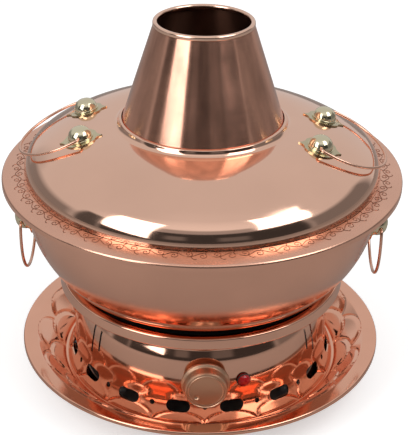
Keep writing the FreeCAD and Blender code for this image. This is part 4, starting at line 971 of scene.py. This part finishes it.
# ------------------------------------------------------------------ lid
@dataclass
class Lid:
    """Domed lid with a collar around the chimney, whose lip is rolled in."""
    wall: float = 1.0
    radius: float = 160.0
    collar_edge: Pair = (72.3, 252.6)
    collar_top: Pair = (74.3, 252.15)
    collar_foot: Pair = (75.896, 247.159)
    crown: Pair = (118.2, 245.559)
    shoulder: float = 218.559

    def build(self, shelf: Shelf) -> None:
        """Spin the dome and its collar and dress them."""
        line = trace([Corner(*self.collar_edge), Corner(*self.collar_top, 0.9, 0.4),
                      Corner(*self.collar_foot, 5.0, 1.5), Corner(*self.crown, 120.0, 4.0),
                      Corner(self.radius, self.shoulder, 24.0, 4.0),
                      Corner(self.radius, PLACES.lid_edge, 0.0, 3.0)], turn=1.5)
        dome = lathe(line, 288, "domed_lid")
        finish_with(dome, "SOLIDIFY", thickness=self.wall * MM, offset=-1.0)
        smooth(dome)
        Dress("lid", "lid", "lid_copper", ("lid_shell",)).put_on(dome, shelf)


# ------------------------------------------------------------------ rosettes and bails
@dataclass(frozen=True)
class Seat:
    """Where a rosette sits: names, place and normal (outwards, up) of its shell."""
    shell: str
    side: str
    end: str
    radius: float
    z: float
    azimuth: float
    lean: Pair

    @property
    def point(self) -> Vector:
        """Foot of the rosette on its shell, in metres."""
        return polar(self.radius, self.azimuth, self.z) * MM

    @property
    def normal(self) -> Vector:
        """Direction in which the rosette stands."""
        return (polar(self.lean[0], self.azimuth) + UP * self.lean[1]).normalized()


def seats() -> list[Seat]:
    """Seats of the lid's and the bowl's rosettes."""
    spots = {
        "lid": (110.5, 243.1445, (0.24788, 0.96879),
                {"left": (-75.3912, -108.4088), "right": (63.5912, 96.6088)}),
        "bowl": (159.0894, 165.0, (0.98214, -0.18813),
                 {"left": (-81.6166, -104.3834), "right": (75.2166, 97.9834)}),
    }
    return [Seat(shell, side, end, radius, z, azimuth, lean)
            for shell, (radius, z, lean, sides) in spots.items()
            for side, azimuths in sides.items()
            for end, azimuth in zip(("front", "rear"), azimuths)]


@dataclass
class Hinge:
    """Eyes of one pair of rosettes and the bail between them.

    The bail's ends stand at plus and minus pin on the hinge's axis. Its loop has its own centre,
    farther out, and a bend leads into it from each end.
    """
    front: Seat
    rear: Seat
    eye_height: float = 3.5
    plate: float = 1.2
    dome_radius: float = 10.5
    dome_drop: float = 0.5
    step: Pair = (0.75, 0.7)          # width and height of a dome's foot
    sink: float = 0.5                 # how far a dome reaches into its plate
    eye_gap: float = 0.35
    pin: float = 34.725
    pin_gap: float = 0.4
    bail_radius: float = 47.5
    bail_centre: float = 14.0
    bail_bend: float = 3.6
    lid_slope: float = 24.0
    lid_wire: float = 2.4
    bowl_wire: float = 2.8
    wire_sides: int = 16
    bend_steps: int = 8
    loop_steps: int = 72

    @property
    def wire(self) -> float:
        """Thickness of the bail's wire, mm."""
        return self.lid_wire if self.front.shell == "lid" else self.bowl_wire

    @property
    def eyes(self) -> tuple[Vector, Vector]:
        """Eye centres of the two rosettes, in metres."""
        lift = (self.plate + self.eye_height) * MM
        return tuple(seat.point + seat.normal * lift for seat in (self.front, self.rear))

    @property
    def middle(self) -> Vector:
        """Point halfway between the eyes."""
        return (self.eyes[0] + self.eyes[1]) / 2

    @property
    def axis(self) -> Vector:
        """Direction from the front eye to the rear one."""
        return (self.eyes[1] - self.eyes[0]).normalized()

    @property
    def reach(self) -> Vector:
        """Direction in which the bail lies at rest."""
        if self.front.shell == "bowl":
            return -UP
        away = Vector((self.middle.x, self.middle.y, 0))
        away = (away - self.axis * away.dot(self.axis)).normalized()
        slope = math.radians(self.lid_slope)
        return away * math.cos(slope) - UP * math.sin(slope)

    def build(self, shelf: Shelf) -> None:
        """Model both domes and the bail and dress them."""
        shell, side = self.front.shell, self.front.side
        for seat, out in ((self.front, -1.0), (self.rear, 1.0)):
            dome = self.dome(seat, self.axis * out)
            node = f"{shell}_rosette_dome_{side}_{seat.end}"
            Dress("dome", shell, "dome_brass", (node,)).put_on(dome, shelf)
        bail = self.bail()
        name = f"{shell}_bail_{side}"
        Dress("wire", name, "copper_wire", (name,)).put_on(bail, shelf)

    def dome(self, seat: Seat, outer: Vector) -> Piece:
        """Boss with a stepped foot and an eye on the outer side.

        Args:
            seat: where it sits.
            outer: direction along the hinge away from the pair's middle.

        Returns:
            The boss in its place.
        """
        name = f"{seat.shell}_boss_{seat.side}_{seat.end}"
        r, width = self.dome_radius, self.dome_radius + self.step[0]
        top, foot = self.plate - self.dome_drop + r, self.plate + self.step[1]
        low = self.plate - self.sink
        line = trace([Corner(0, top), Corner(r, top, r, 1.5), Corner(r, foot, 0.3, 0.5),
                      Corner(width, foot, 0.4, 0.4), Corner(width, low, 0.0, 0.6),
                      Corner(0, low, 0.0, 4.0)], turn=4.0)
        boss = lathe(line, 72, name)
        along = (self.axis - seat.normal * self.axis.dot(seat.normal)).normalized()
        boss.data.transform(frame_of(seat.point, along, seat.normal.cross(along), seat.normal))
        offset = abs((seat.point - self.middle).dot(self.axis))
        mouth = self.middle + outer * (offset + 2 * r * MM)
        end = self.middle + outer * ((self.pin - self.pin_gap) * MM)
        cut(boss, rod(end, mouth, (self.wire / 2 + self.eye_gap) * MM))
        return smooth(settle(boss), 36.0)

    def bail(self) -> Piece:
        """Round wire bent into the bail: a section drawn along straights and bends."""
        inner = self.bail_radius - self.bail_bend
        bend_at = math.sqrt(inner ** 2 - (self.bail_centre - self.bail_bend) ** 2)
        swing = math.atan2(self.bail_centre - self.bail_bend, bend_at)
        name = f"{self.front.shell}_wire_bail_{self.front.side}"
        deselect()
        bpy.ops.mesh.primitive_circle_add(vertices=self.wire_sides, radius=self.wire / 2 * MM,
                                          fill_type="NOTHING", location=(self.pin * MM, 0, 0),
                                          rotation=(0, QUARTER_TURN, 0))
        wire = bpy.context.active_object
        edit(wire)
        straight = (bend_at - self.pin) * MM
        bends = (((bend_at, self.bail_bend), QUARTER_TURN - swing, self.bend_steps),
                 ((0.0, self.bail_centre), math.pi + 2 * swing, self.loop_steps),
                 ((-bend_at, self.bail_bend), QUARTER_TURN - swing, self.bend_steps))
        bpy.ops.mesh.extrude_region_move(TRANSFORM_OT_translate={"value": (straight, 0, 0)})
        for (x, y), angle, steps in bends:
            bpy.ops.mesh.spin(steps=steps, angle=angle, center=(x * MM, y * MM, 0), axis=(0, 0, -1))
        bpy.ops.mesh.extrude_region_move(TRANSFORM_OT_translate={"value": (straight, 0, 0)})
        bpy.ops.mesh.select_all(action="SELECT")
        bpy.ops.mesh.remove_doubles(threshold=SHORTEST)
        bpy.ops.mesh.select_all(action="SELECT")
        bpy.ops.mesh.fill_holes(sides=0)
        bpy.ops.mesh.normals_make_consistent(inside=False)
        leave()
        settle(wire, name)
        wire.data.transform(frame_of(self.middle, self.axis, self.reach,
                                     self.axis.cross(self.reach)))
        return smooth(wire, 40.0)


# ------------------------------------------------------------------ controls
@dataclass
class Knob:
    """Control knob with rings on its face and a finger dimple.

    Skirt and rings list the corners of its outline, from its back to the middle of its face: how
    far inside the radius, how far above the back or below the front, bend and step.
    """
    radius: float = 21.4
    depth: float = 14.0
    back: float = 123.85
    face_sink: float = 0.6
    skirt: tuple[tuple[float, ...], ...] = (
        (1.4, 0.0, 0.4, 4.0), (0.0, 1.2, 0.6, 1.0), (0.0, 3.6, 0.6, 1.0), (1.8, 4.8, 0.5, 1.0),
        (2.2, 5.6, 0.6, 1.0))
    rings: tuple[tuple[float, ...], ...] = (
        (2.8, 2.0, 0.8, 2.0), (3.5, 0.4, 0.4, 0.6), (4.3, 0.0, 0.4, 0.6), (4.9, 0.9, 0.3, 0.6),
        (5.5, 0.9, 0.3, 0.6), (6.2, 0.2, 0.4, 0.6), (7.0, 0.6, 0.4, 0.6))
    dimple: tuple[float, float, float] = (-8.2, -6.4, 1.6)
    dimple_radius: float = 3.0

    def build(self, shelf: Shelf) -> None:
        """Spin the knob, press its dimple, stand it on its shaft and dress it."""
        face = self.depth - self.face_sink
        line = trace([Corner(0, 0),
                      *(Corner(self.radius - inset, up, bend, step)
                        for inset, up, bend, step in self.skirt),
                      *(Corner(self.radius - inset, self.depth - down, bend, step)
                        for inset, down, bend, step in self.rings),
                      Corner(0, face, 0.0, 2.0)], turn=12.0)
        knob = lathe(line, 128, "ringed_knob")
        deselect()
        x, y, rise = self.dimple
        bpy.ops.mesh.primitive_uv_sphere_add(segments=48, ring_count=24,
                                             radius=self.dimple_radius * MM,
                                             location=(x * MM, y * MM, (face + rise) * MM))
        cut(knob, settle(bpy.context.active_object))
        seat = Matrix.Translation((0, -self.back * MM, PLACES.knob_height * MM))
        knob.data.transform(seat @ Matrix.Rotation(QUARTER_TURN, 4, "X"))
        smooth(knob, 30.0)
        Dress("knob", "knob", "knob_copper", ("control_knob",)).put_on(knob, shelf)


@dataclass
class Lamp:
    """Faceted lamp lens in a thin bezel.

    Tiers are the lens's facets above its foot: size against the tier below, and rise. The bezel
    lists the corners of its section: distance outside the radius, height, bend.
    """
    radius: float = 6.3
    seat: float = 120.4
    facets: int = 10
    gap: float = 0.3
    foot: float = 1.6
    tiers: tuple[Pair, ...] = ((0.74, 1.6), (0.52, 1.0))
    bezel: tuple[tuple[float, float, float], ...] = (
        (-0.7, 0.0, 0.0), (0.2, 0.0, 0.1), (0.2, 0.7, 0.3), (-0.7, 0.9, 0.2), (-0.7, 0.0, 0.0))

    def build(self, shelf: Shelf) -> None:
        """Cut the lens, ring it with its bezel, stand them on the drum and dress them."""
        lens = self.lens()
        rim = lathe(trace([Corner(self.radius + out, z, bend, 1.0) for out, z, bend in self.bezel],
                          turn=20.0), 64, "lamp_bezel")
        azimuth = PLACES.lamp_azimuth
        out, side = polar(1, azimuth), polar(1, azimuth + 90)
        place = frame_of(polar(self.seat, azimuth, PLACES.lamp_height) * MM, side, UP, out)
        for piece in (lens, rim):
            piece.data.transform(place)
        smooth(rim, 40.0)
        Dress("lens", "base", "lamp_red", ("lamp_lens",)).put_on(lens, shelf)
        Dress("resin", "base", "lamp_housing").put_on(rim, shelf)

    def lens(self) -> Piece:
        """Many-sided lens, each tier turned by half a facet against the one below it."""
        deselect()
        bpy.ops.mesh.primitive_cylinder_add(vertices=self.facets,
                                            radius=(self.radius - self.gap) * MM,
                                            depth=self.foot * MM,
                                            location=(0, 0, self.foot / 2 * MM))
        lens = bpy.context.active_object
        edit(lens, "DESELECT")
        leave()
        for face in lens.data.polygons:
            face.select = face.normal.z > 0.9
        enter()
        for size, rise in self.tiers:
            lift = {"value": (0, 0, rise * MM)}
            bpy.ops.mesh.extrude_region_move(TRANSFORM_OT_translate=lift)
            bpy.ops.transform.resize(value=(size, size, 1), center_override=(0, 0, 0))
            bpy.ops.transform.rotate(value=math.pi / self.facets, orient_axis="Z",
                                     center_override=(0, 0, 0))
        leave()
        settle(lens, "lamp_gem")
        edit(lens)
        bpy.ops.mesh.quads_convert_to_tris()
        leave()
        return lens


# ------------------------------------------------------------------ works that keep their solids
KEPT = {
    "ring": ("seat_ring",), "rubber": ("rubber_feet",), "iron": ("heating_plate",),
    "base_steel": ("base_plate",), "element": ("heating_element",), "shield": ("heat_shield",),
    "steel": ("element_pins", "support_posts", "post_screws", "post_studs", "foot_screws",
              "foot_nuts", "drum_screws", "thermostat_bracket", "thermostat_screws",
              "thermostat_shaft", "lamp_clip", "earth_screw", "thermal_fuse"),
    "resin": ("thermostat_body",), "lamp_body": ("lamp_body",), "inlet": ("power_inlet",),
    "pin_brass": ("inlet_pins", "earth_tag"), "brown": ("wire_live", "wire_switched"),
    "blue": ("wire_neutral", "wire_fuse"), "green": ("wire_earth",), "guide": ("lid_guide_ring",),
    "rivet": ("lid_rosette_rivets", "bowl_rosette_rivets"),
    "rosette": tuple(f"{shell}_rosette_plate_{side}_{end}" for shell in ("lid", "bowl")
                     for side in ("left", "right") for end in ("front", "rear")),
}


def dress_kept(shelf: Shelf) -> None:
    """Give the nodes that stay as they are their finishes."""
    for finish, names in KEPT.items():
        for name in names:
            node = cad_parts[name]
            if not node.material_slots:
                node.data.materials.append(None)
            for slot in node.material_slots:
                slot.material = shelf.get(finish)
            LOG.info("%s keeps its solid in %s", name, finish)


# ------------------------------------------------------------------ studio
WHITE = (1.0, 1.0, 1.0, 1.0)


@dataclass(frozen=True)
class Panel:
    """Flat studio panel given by its corners, seen by the metal and not by the camera."""
    name: str
    corners: tuple[tuple[float, float, float], ...]
    glow: float

    def build(self) -> None:
        """Set up the panel."""
        deselect()
        bpy.ops.mesh.primitive_plane_add(size=1.0)
        panel = bpy.context.active_object
        for vertex, corner in zip((0, 1, 3, 2), self.corners):
            panel.data.vertices[vertex].co = corner
        panel.name = self.name
        bench = Bench(self.name)
        light = bench.node("Emission", {"Color": WHITE, "Strength": self.glow})
        panel.data.materials.append(bench.show(light))
        panel.visible_camera = False


@dataclass(frozen=True)
class Patch:
    """Part of the studio's wall: its azimuths, elevations, glow and the softness of its edge."""
    azimuths: Pair
    elevations: Pair
    glow: float
    soft: float = 4.0

    def over(self, bench: Bench, azimuth: Socket, elevation: Socket,
             glow: Socket) -> Socket:
        """Lay the patch over the glow of the wall behind it.

        Args:
            bench: the wall's node tree.
            azimuth: direction around the pot, degrees.
            elevation: direction above the level, degrees.
            glow: strength of the wall so far.

        Returns:
            Strength with the patch on it.
        """
        mask = None
        half = self.soft / 2
        for value, (low, high) in ((azimuth, self.azimuths), (elevation, self.elevations)):
            for edge, start, stop in ((low, 0.0, 1.0), (high, 1.0, 0.0)):
                step = bench.ranged(value, start, stop, edge - half, edge + half)
                mask = bench.math("MULTIPLY", mask, step) if mask else step
        change = bench.math("SUBTRACT", self.glow, glow)
        return bench.math("ADD", glow, bench.math("MULTIPLY", mask, change))


PATCHES = (
    Patch((-32, 34), (34, 46), 0.36),
    Patch((-66, 66), (-12, 34), 0.045),
    Patch((-24, -12), (8, 22), 0.16),
    Patch((8, 26), (6, 20), 0.14),
    Patch((-84, -66), (-10, 35), 0.08),
    Patch((-146, -86), (-10, 18), 0.24, 12.0),
    Patch((66, 125), (-5, 28), 0.2, 8.0),
)


def heading(azimuth: float, elevation: float, distance: float,
            start: Vector) -> tuple[float, float, float]:
    """Point at a direction and distance from a start, in metres."""
    lift = math.radians(elevation)
    return tuple(start + polar(distance * math.cos(lift), azimuth, distance * math.sin(lift)))


@dataclass(frozen=True)
class SoftBox:
    """Soft box: a start, and the azimuth, elevation and distance of its corners from there."""
    name: str
    start: tuple[float, float, float]
    distance: float
    corners: tuple[tuple[float, float, float], ...]


SOFT_BOXES = (
    SoftBox("soft_box_left", (-0.06, -0.14, 0.22), 1.35,
            ((-33.4, 2.7, 1.0), (-65.7, 13.2, 1.126), (-81.6, 58.3, 1.495), (-33.4, 60.7, 1.218))),
    SoftBox("soft_box_right", (0.06, -0.135, 0.225), 1.45,
            ((75.1, 30.3, 1.0), (34.6, 35.5, 0.88), (67.7, 73.7, 1.28), (107.0, 57.0, 1.459))),
)


@dataclass
class Studio:
    """Pale floor, soft boxes, walls and the camera, in metres and radians unless said."""
    floor_size: float = 12.0
    floor_seen: Colour = (0.9, 0.9, 0.9)
    floor_mirrored: Colour = (0.42, 0.40, 0.385)
    floor_lift: float = 0.45          # glow added for the camera, and for shine and clear pieces
    floor_sheen: float = 0.02
    fill: float = 0.55
    dome_radius: float = 5.8
    wall_glow: float = 0.64
    front_lift: float = 0.45
    eye: float = 0.23
    box_glow: float = 3.2
    camera_distance: float = 0.9913
    camera_height: float = 0.6784
    camera_turn: float = -2.4         # degrees around the pot
    pitch: float = 0.4897
    roll: float = 0.0137
    yaw: float = 0.0022
    focal_rows: float = 1212.7        # focal length in rows of a frame 435 rows high
    frame_rows: int = 435
    sensor: float = 36.0              # mm

    def build(self) -> None:
        """Set up the floor, the lights and the camera."""
        self.floor()
        self.world()
        self.dome()
        for box in SOFT_BOXES:
            corners = tuple(heading(azimuth, elevation, box.distance * share, Vector(box.start))
                            for azimuth, elevation, share in box.corners)
            Panel(box.name, corners, self.box_glow).build()
        self.camera()
        bpy.context.scene.view_settings.view_transform = "Standard"

    def floor(self) -> None:
        """Plain pale floor that the camera sees as white, with the pot's soft shadow."""
        deselect()
        bpy.ops.mesh.primitive_plane_add(size=self.floor_size)
        floor = bpy.context.active_object
        floor.name = "studio_floor"
        bench = Bench("studio_floor")
        path = bench.node("LightPath")
        by_camera = path.outputs["Is Camera Ray"]
        pale = bench.blend(by_camera, self.floor_mirrored, self.floor_seen)
        matt = bench.node("BsdfDiffuse")
        bench.link(pale, matt.inputs["Color"])
        lift = bench.node("Emission", {"Color": WHITE})
        by_metal = bench.math("MAXIMUM", path.outputs["Is Glossy Ray"],
                              path.outputs["Is Transmission Ray"])
        seen = bench.math("MAXIMUM", bench.math("MULTIPLY", by_camera, self.floor_lift),
                          bench.math("MULTIPLY", by_metal, self.floor_sheen))
        bench.link(seen, lift.inputs["Strength"])
        both = bench.node("AddShader")
        bench.link(matt.outputs[0], both.inputs[0])
        bench.link(lift.outputs[0], both.inputs[1])
        floor.data.materials.append(bench.show(both))

    def world(self) -> None:
        """White background for the camera, glossy and clear rays, and soft light for the rest."""
        world = bpy.data.worlds.new("studio_world")
        bpy.context.scene.world = world
        world.use_nodes = True
        tree = world.node_tree
        tree.nodes.clear()
        path = tree.nodes.new("ShaderNodeLightPath")
        seen = path.outputs["Is Camera Ray"]
        for kind in ("Is Glossy Ray", "Is Transmission Ray"):
            either = tree.nodes.new("ShaderNodeMath")
            either.operation = "MAXIMUM"
            tree.links.new(seen, either.inputs[0])
            tree.links.new(path.outputs[kind], either.inputs[1])
            seen = either.outputs[0]
        white = tree.nodes.new("ShaderNodeMapRange")
        white.inputs["To Min"].default_value = self.fill
        tree.links.new(seen, white.inputs["Value"])
        sky = tree.nodes.new("ShaderNodeBackground")
        sky.inputs["Color"].default_value = WHITE
        tree.links.new(white.outputs["Result"], sky.inputs["Strength"])
        out = tree.nodes.new("ShaderNodeOutputWorld")
        tree.links.new(sky.outputs[0], out.inputs["Surface"])

    def dome(self) -> None:
        """Walls and ceiling that only shine and clear surfaces see, with their lights and darks."""
        deselect()
        bpy.ops.mesh.primitive_uv_sphere_add(segments=64, ring_count=32, radius=self.dome_radius)
        dome = bpy.context.active_object
        dome.name = "studio_dome"
        bench = Bench("studio_dome")
        x, y, z = bench.axes(bench.node("TexCoord").outputs["Object"])
        front = bench.math("MULTIPLY", y, -1.0)
        azimuth = bench.math("DEGREES", bench.math("ARCTAN2", x, front))
        rise = bench.math("SUBTRACT", z, self.eye)
        elevation = bench.math("DEGREES", bench.math("ARCTAN2", rise, bench.off_axis(x, y)))
        lift = bench.math("MULTIPLY", bench.math("MAXIMUM", front, 0.0),
                          bench.math("MAXIMUM", rise, 0.0))
        share = self.front_lift / self.dome_radius ** 2
        glow = bench.math("ADD", self.wall_glow, bench.math("MULTIPLY", lift, share))
        for patch in PATCHES:
            glow = patch.over(bench, azimuth, elevation, glow)
        light = bench.node("Emission", {"Color": WHITE})
        bench.link(glow, light.inputs["Strength"])
        bench.material.cycles.emission_sampling = "NONE"
        dome.data.materials.append(bench.show(light))
        dome.visible_camera = dome.visible_diffuse = dome.visible_shadow = False

    def camera(self) -> None:
        """Camera in front of the knob, a little above the rim."""
        cos_p, sin_p = math.cos(self.pitch), math.sin(self.pitch)
        forward = Vector((math.sin(self.yaw) * cos_p, math.cos(self.yaw) * cos_p, -sin_p))
        right = Vector((math.cos(self.yaw), -math.sin(self.yaw), 0))
        above = right.cross(forward)
        x = right * math.cos(self.roll) + above * math.sin(self.roll)
        y = above * math.cos(self.roll) - right * math.sin(self.roll)
        place = frame_of(Vector((0, -self.camera_distance, self.camera_height)), x, y, -forward)
        data = bpy.data.cameras.new("studio_camera")
        data.sensor_fit = "VERTICAL"
        data.sensor_height = self.sensor
        data.lens = self.focal_rows / self.frame_rows * self.sensor
        data.clip_start = 0.01
        camera = bpy.data.objects.new("studio_camera", data)
        bpy.context.collection.objects.link(camera)
        camera.matrix_world = Matrix.Rotation(math.radians(self.camera_turn), 4, "Z") @ place
        bpy.context.scene.camera = camera


# ------------------------------------------------------------------ assembly
def main() -> None:
    """Build every sub-assembly in order, dress it and note the sizes."""
    logging.basicConfig(level=logging.INFO, format="%(name)s: %(message)s")
    shelf = Shelf()
    Studio().build()
    for part in (Tray(), Drum(), Bowl(), Chimney(), Lid(), Knob(), Lamp()):
        part.build(shelf)
    found = seats()
    for shell in ("lid", "bowl"):
        for side in ("left", "right"):
            front, rear = (next(s for s in found if (s.shell, s.side, s.end) == (shell, side, end))
                           for end in ("front", "rear"))
            Hinge(front, rear).build(shelf)
    dress_kept(shelf)


if __name__ == "__main__":
    main()
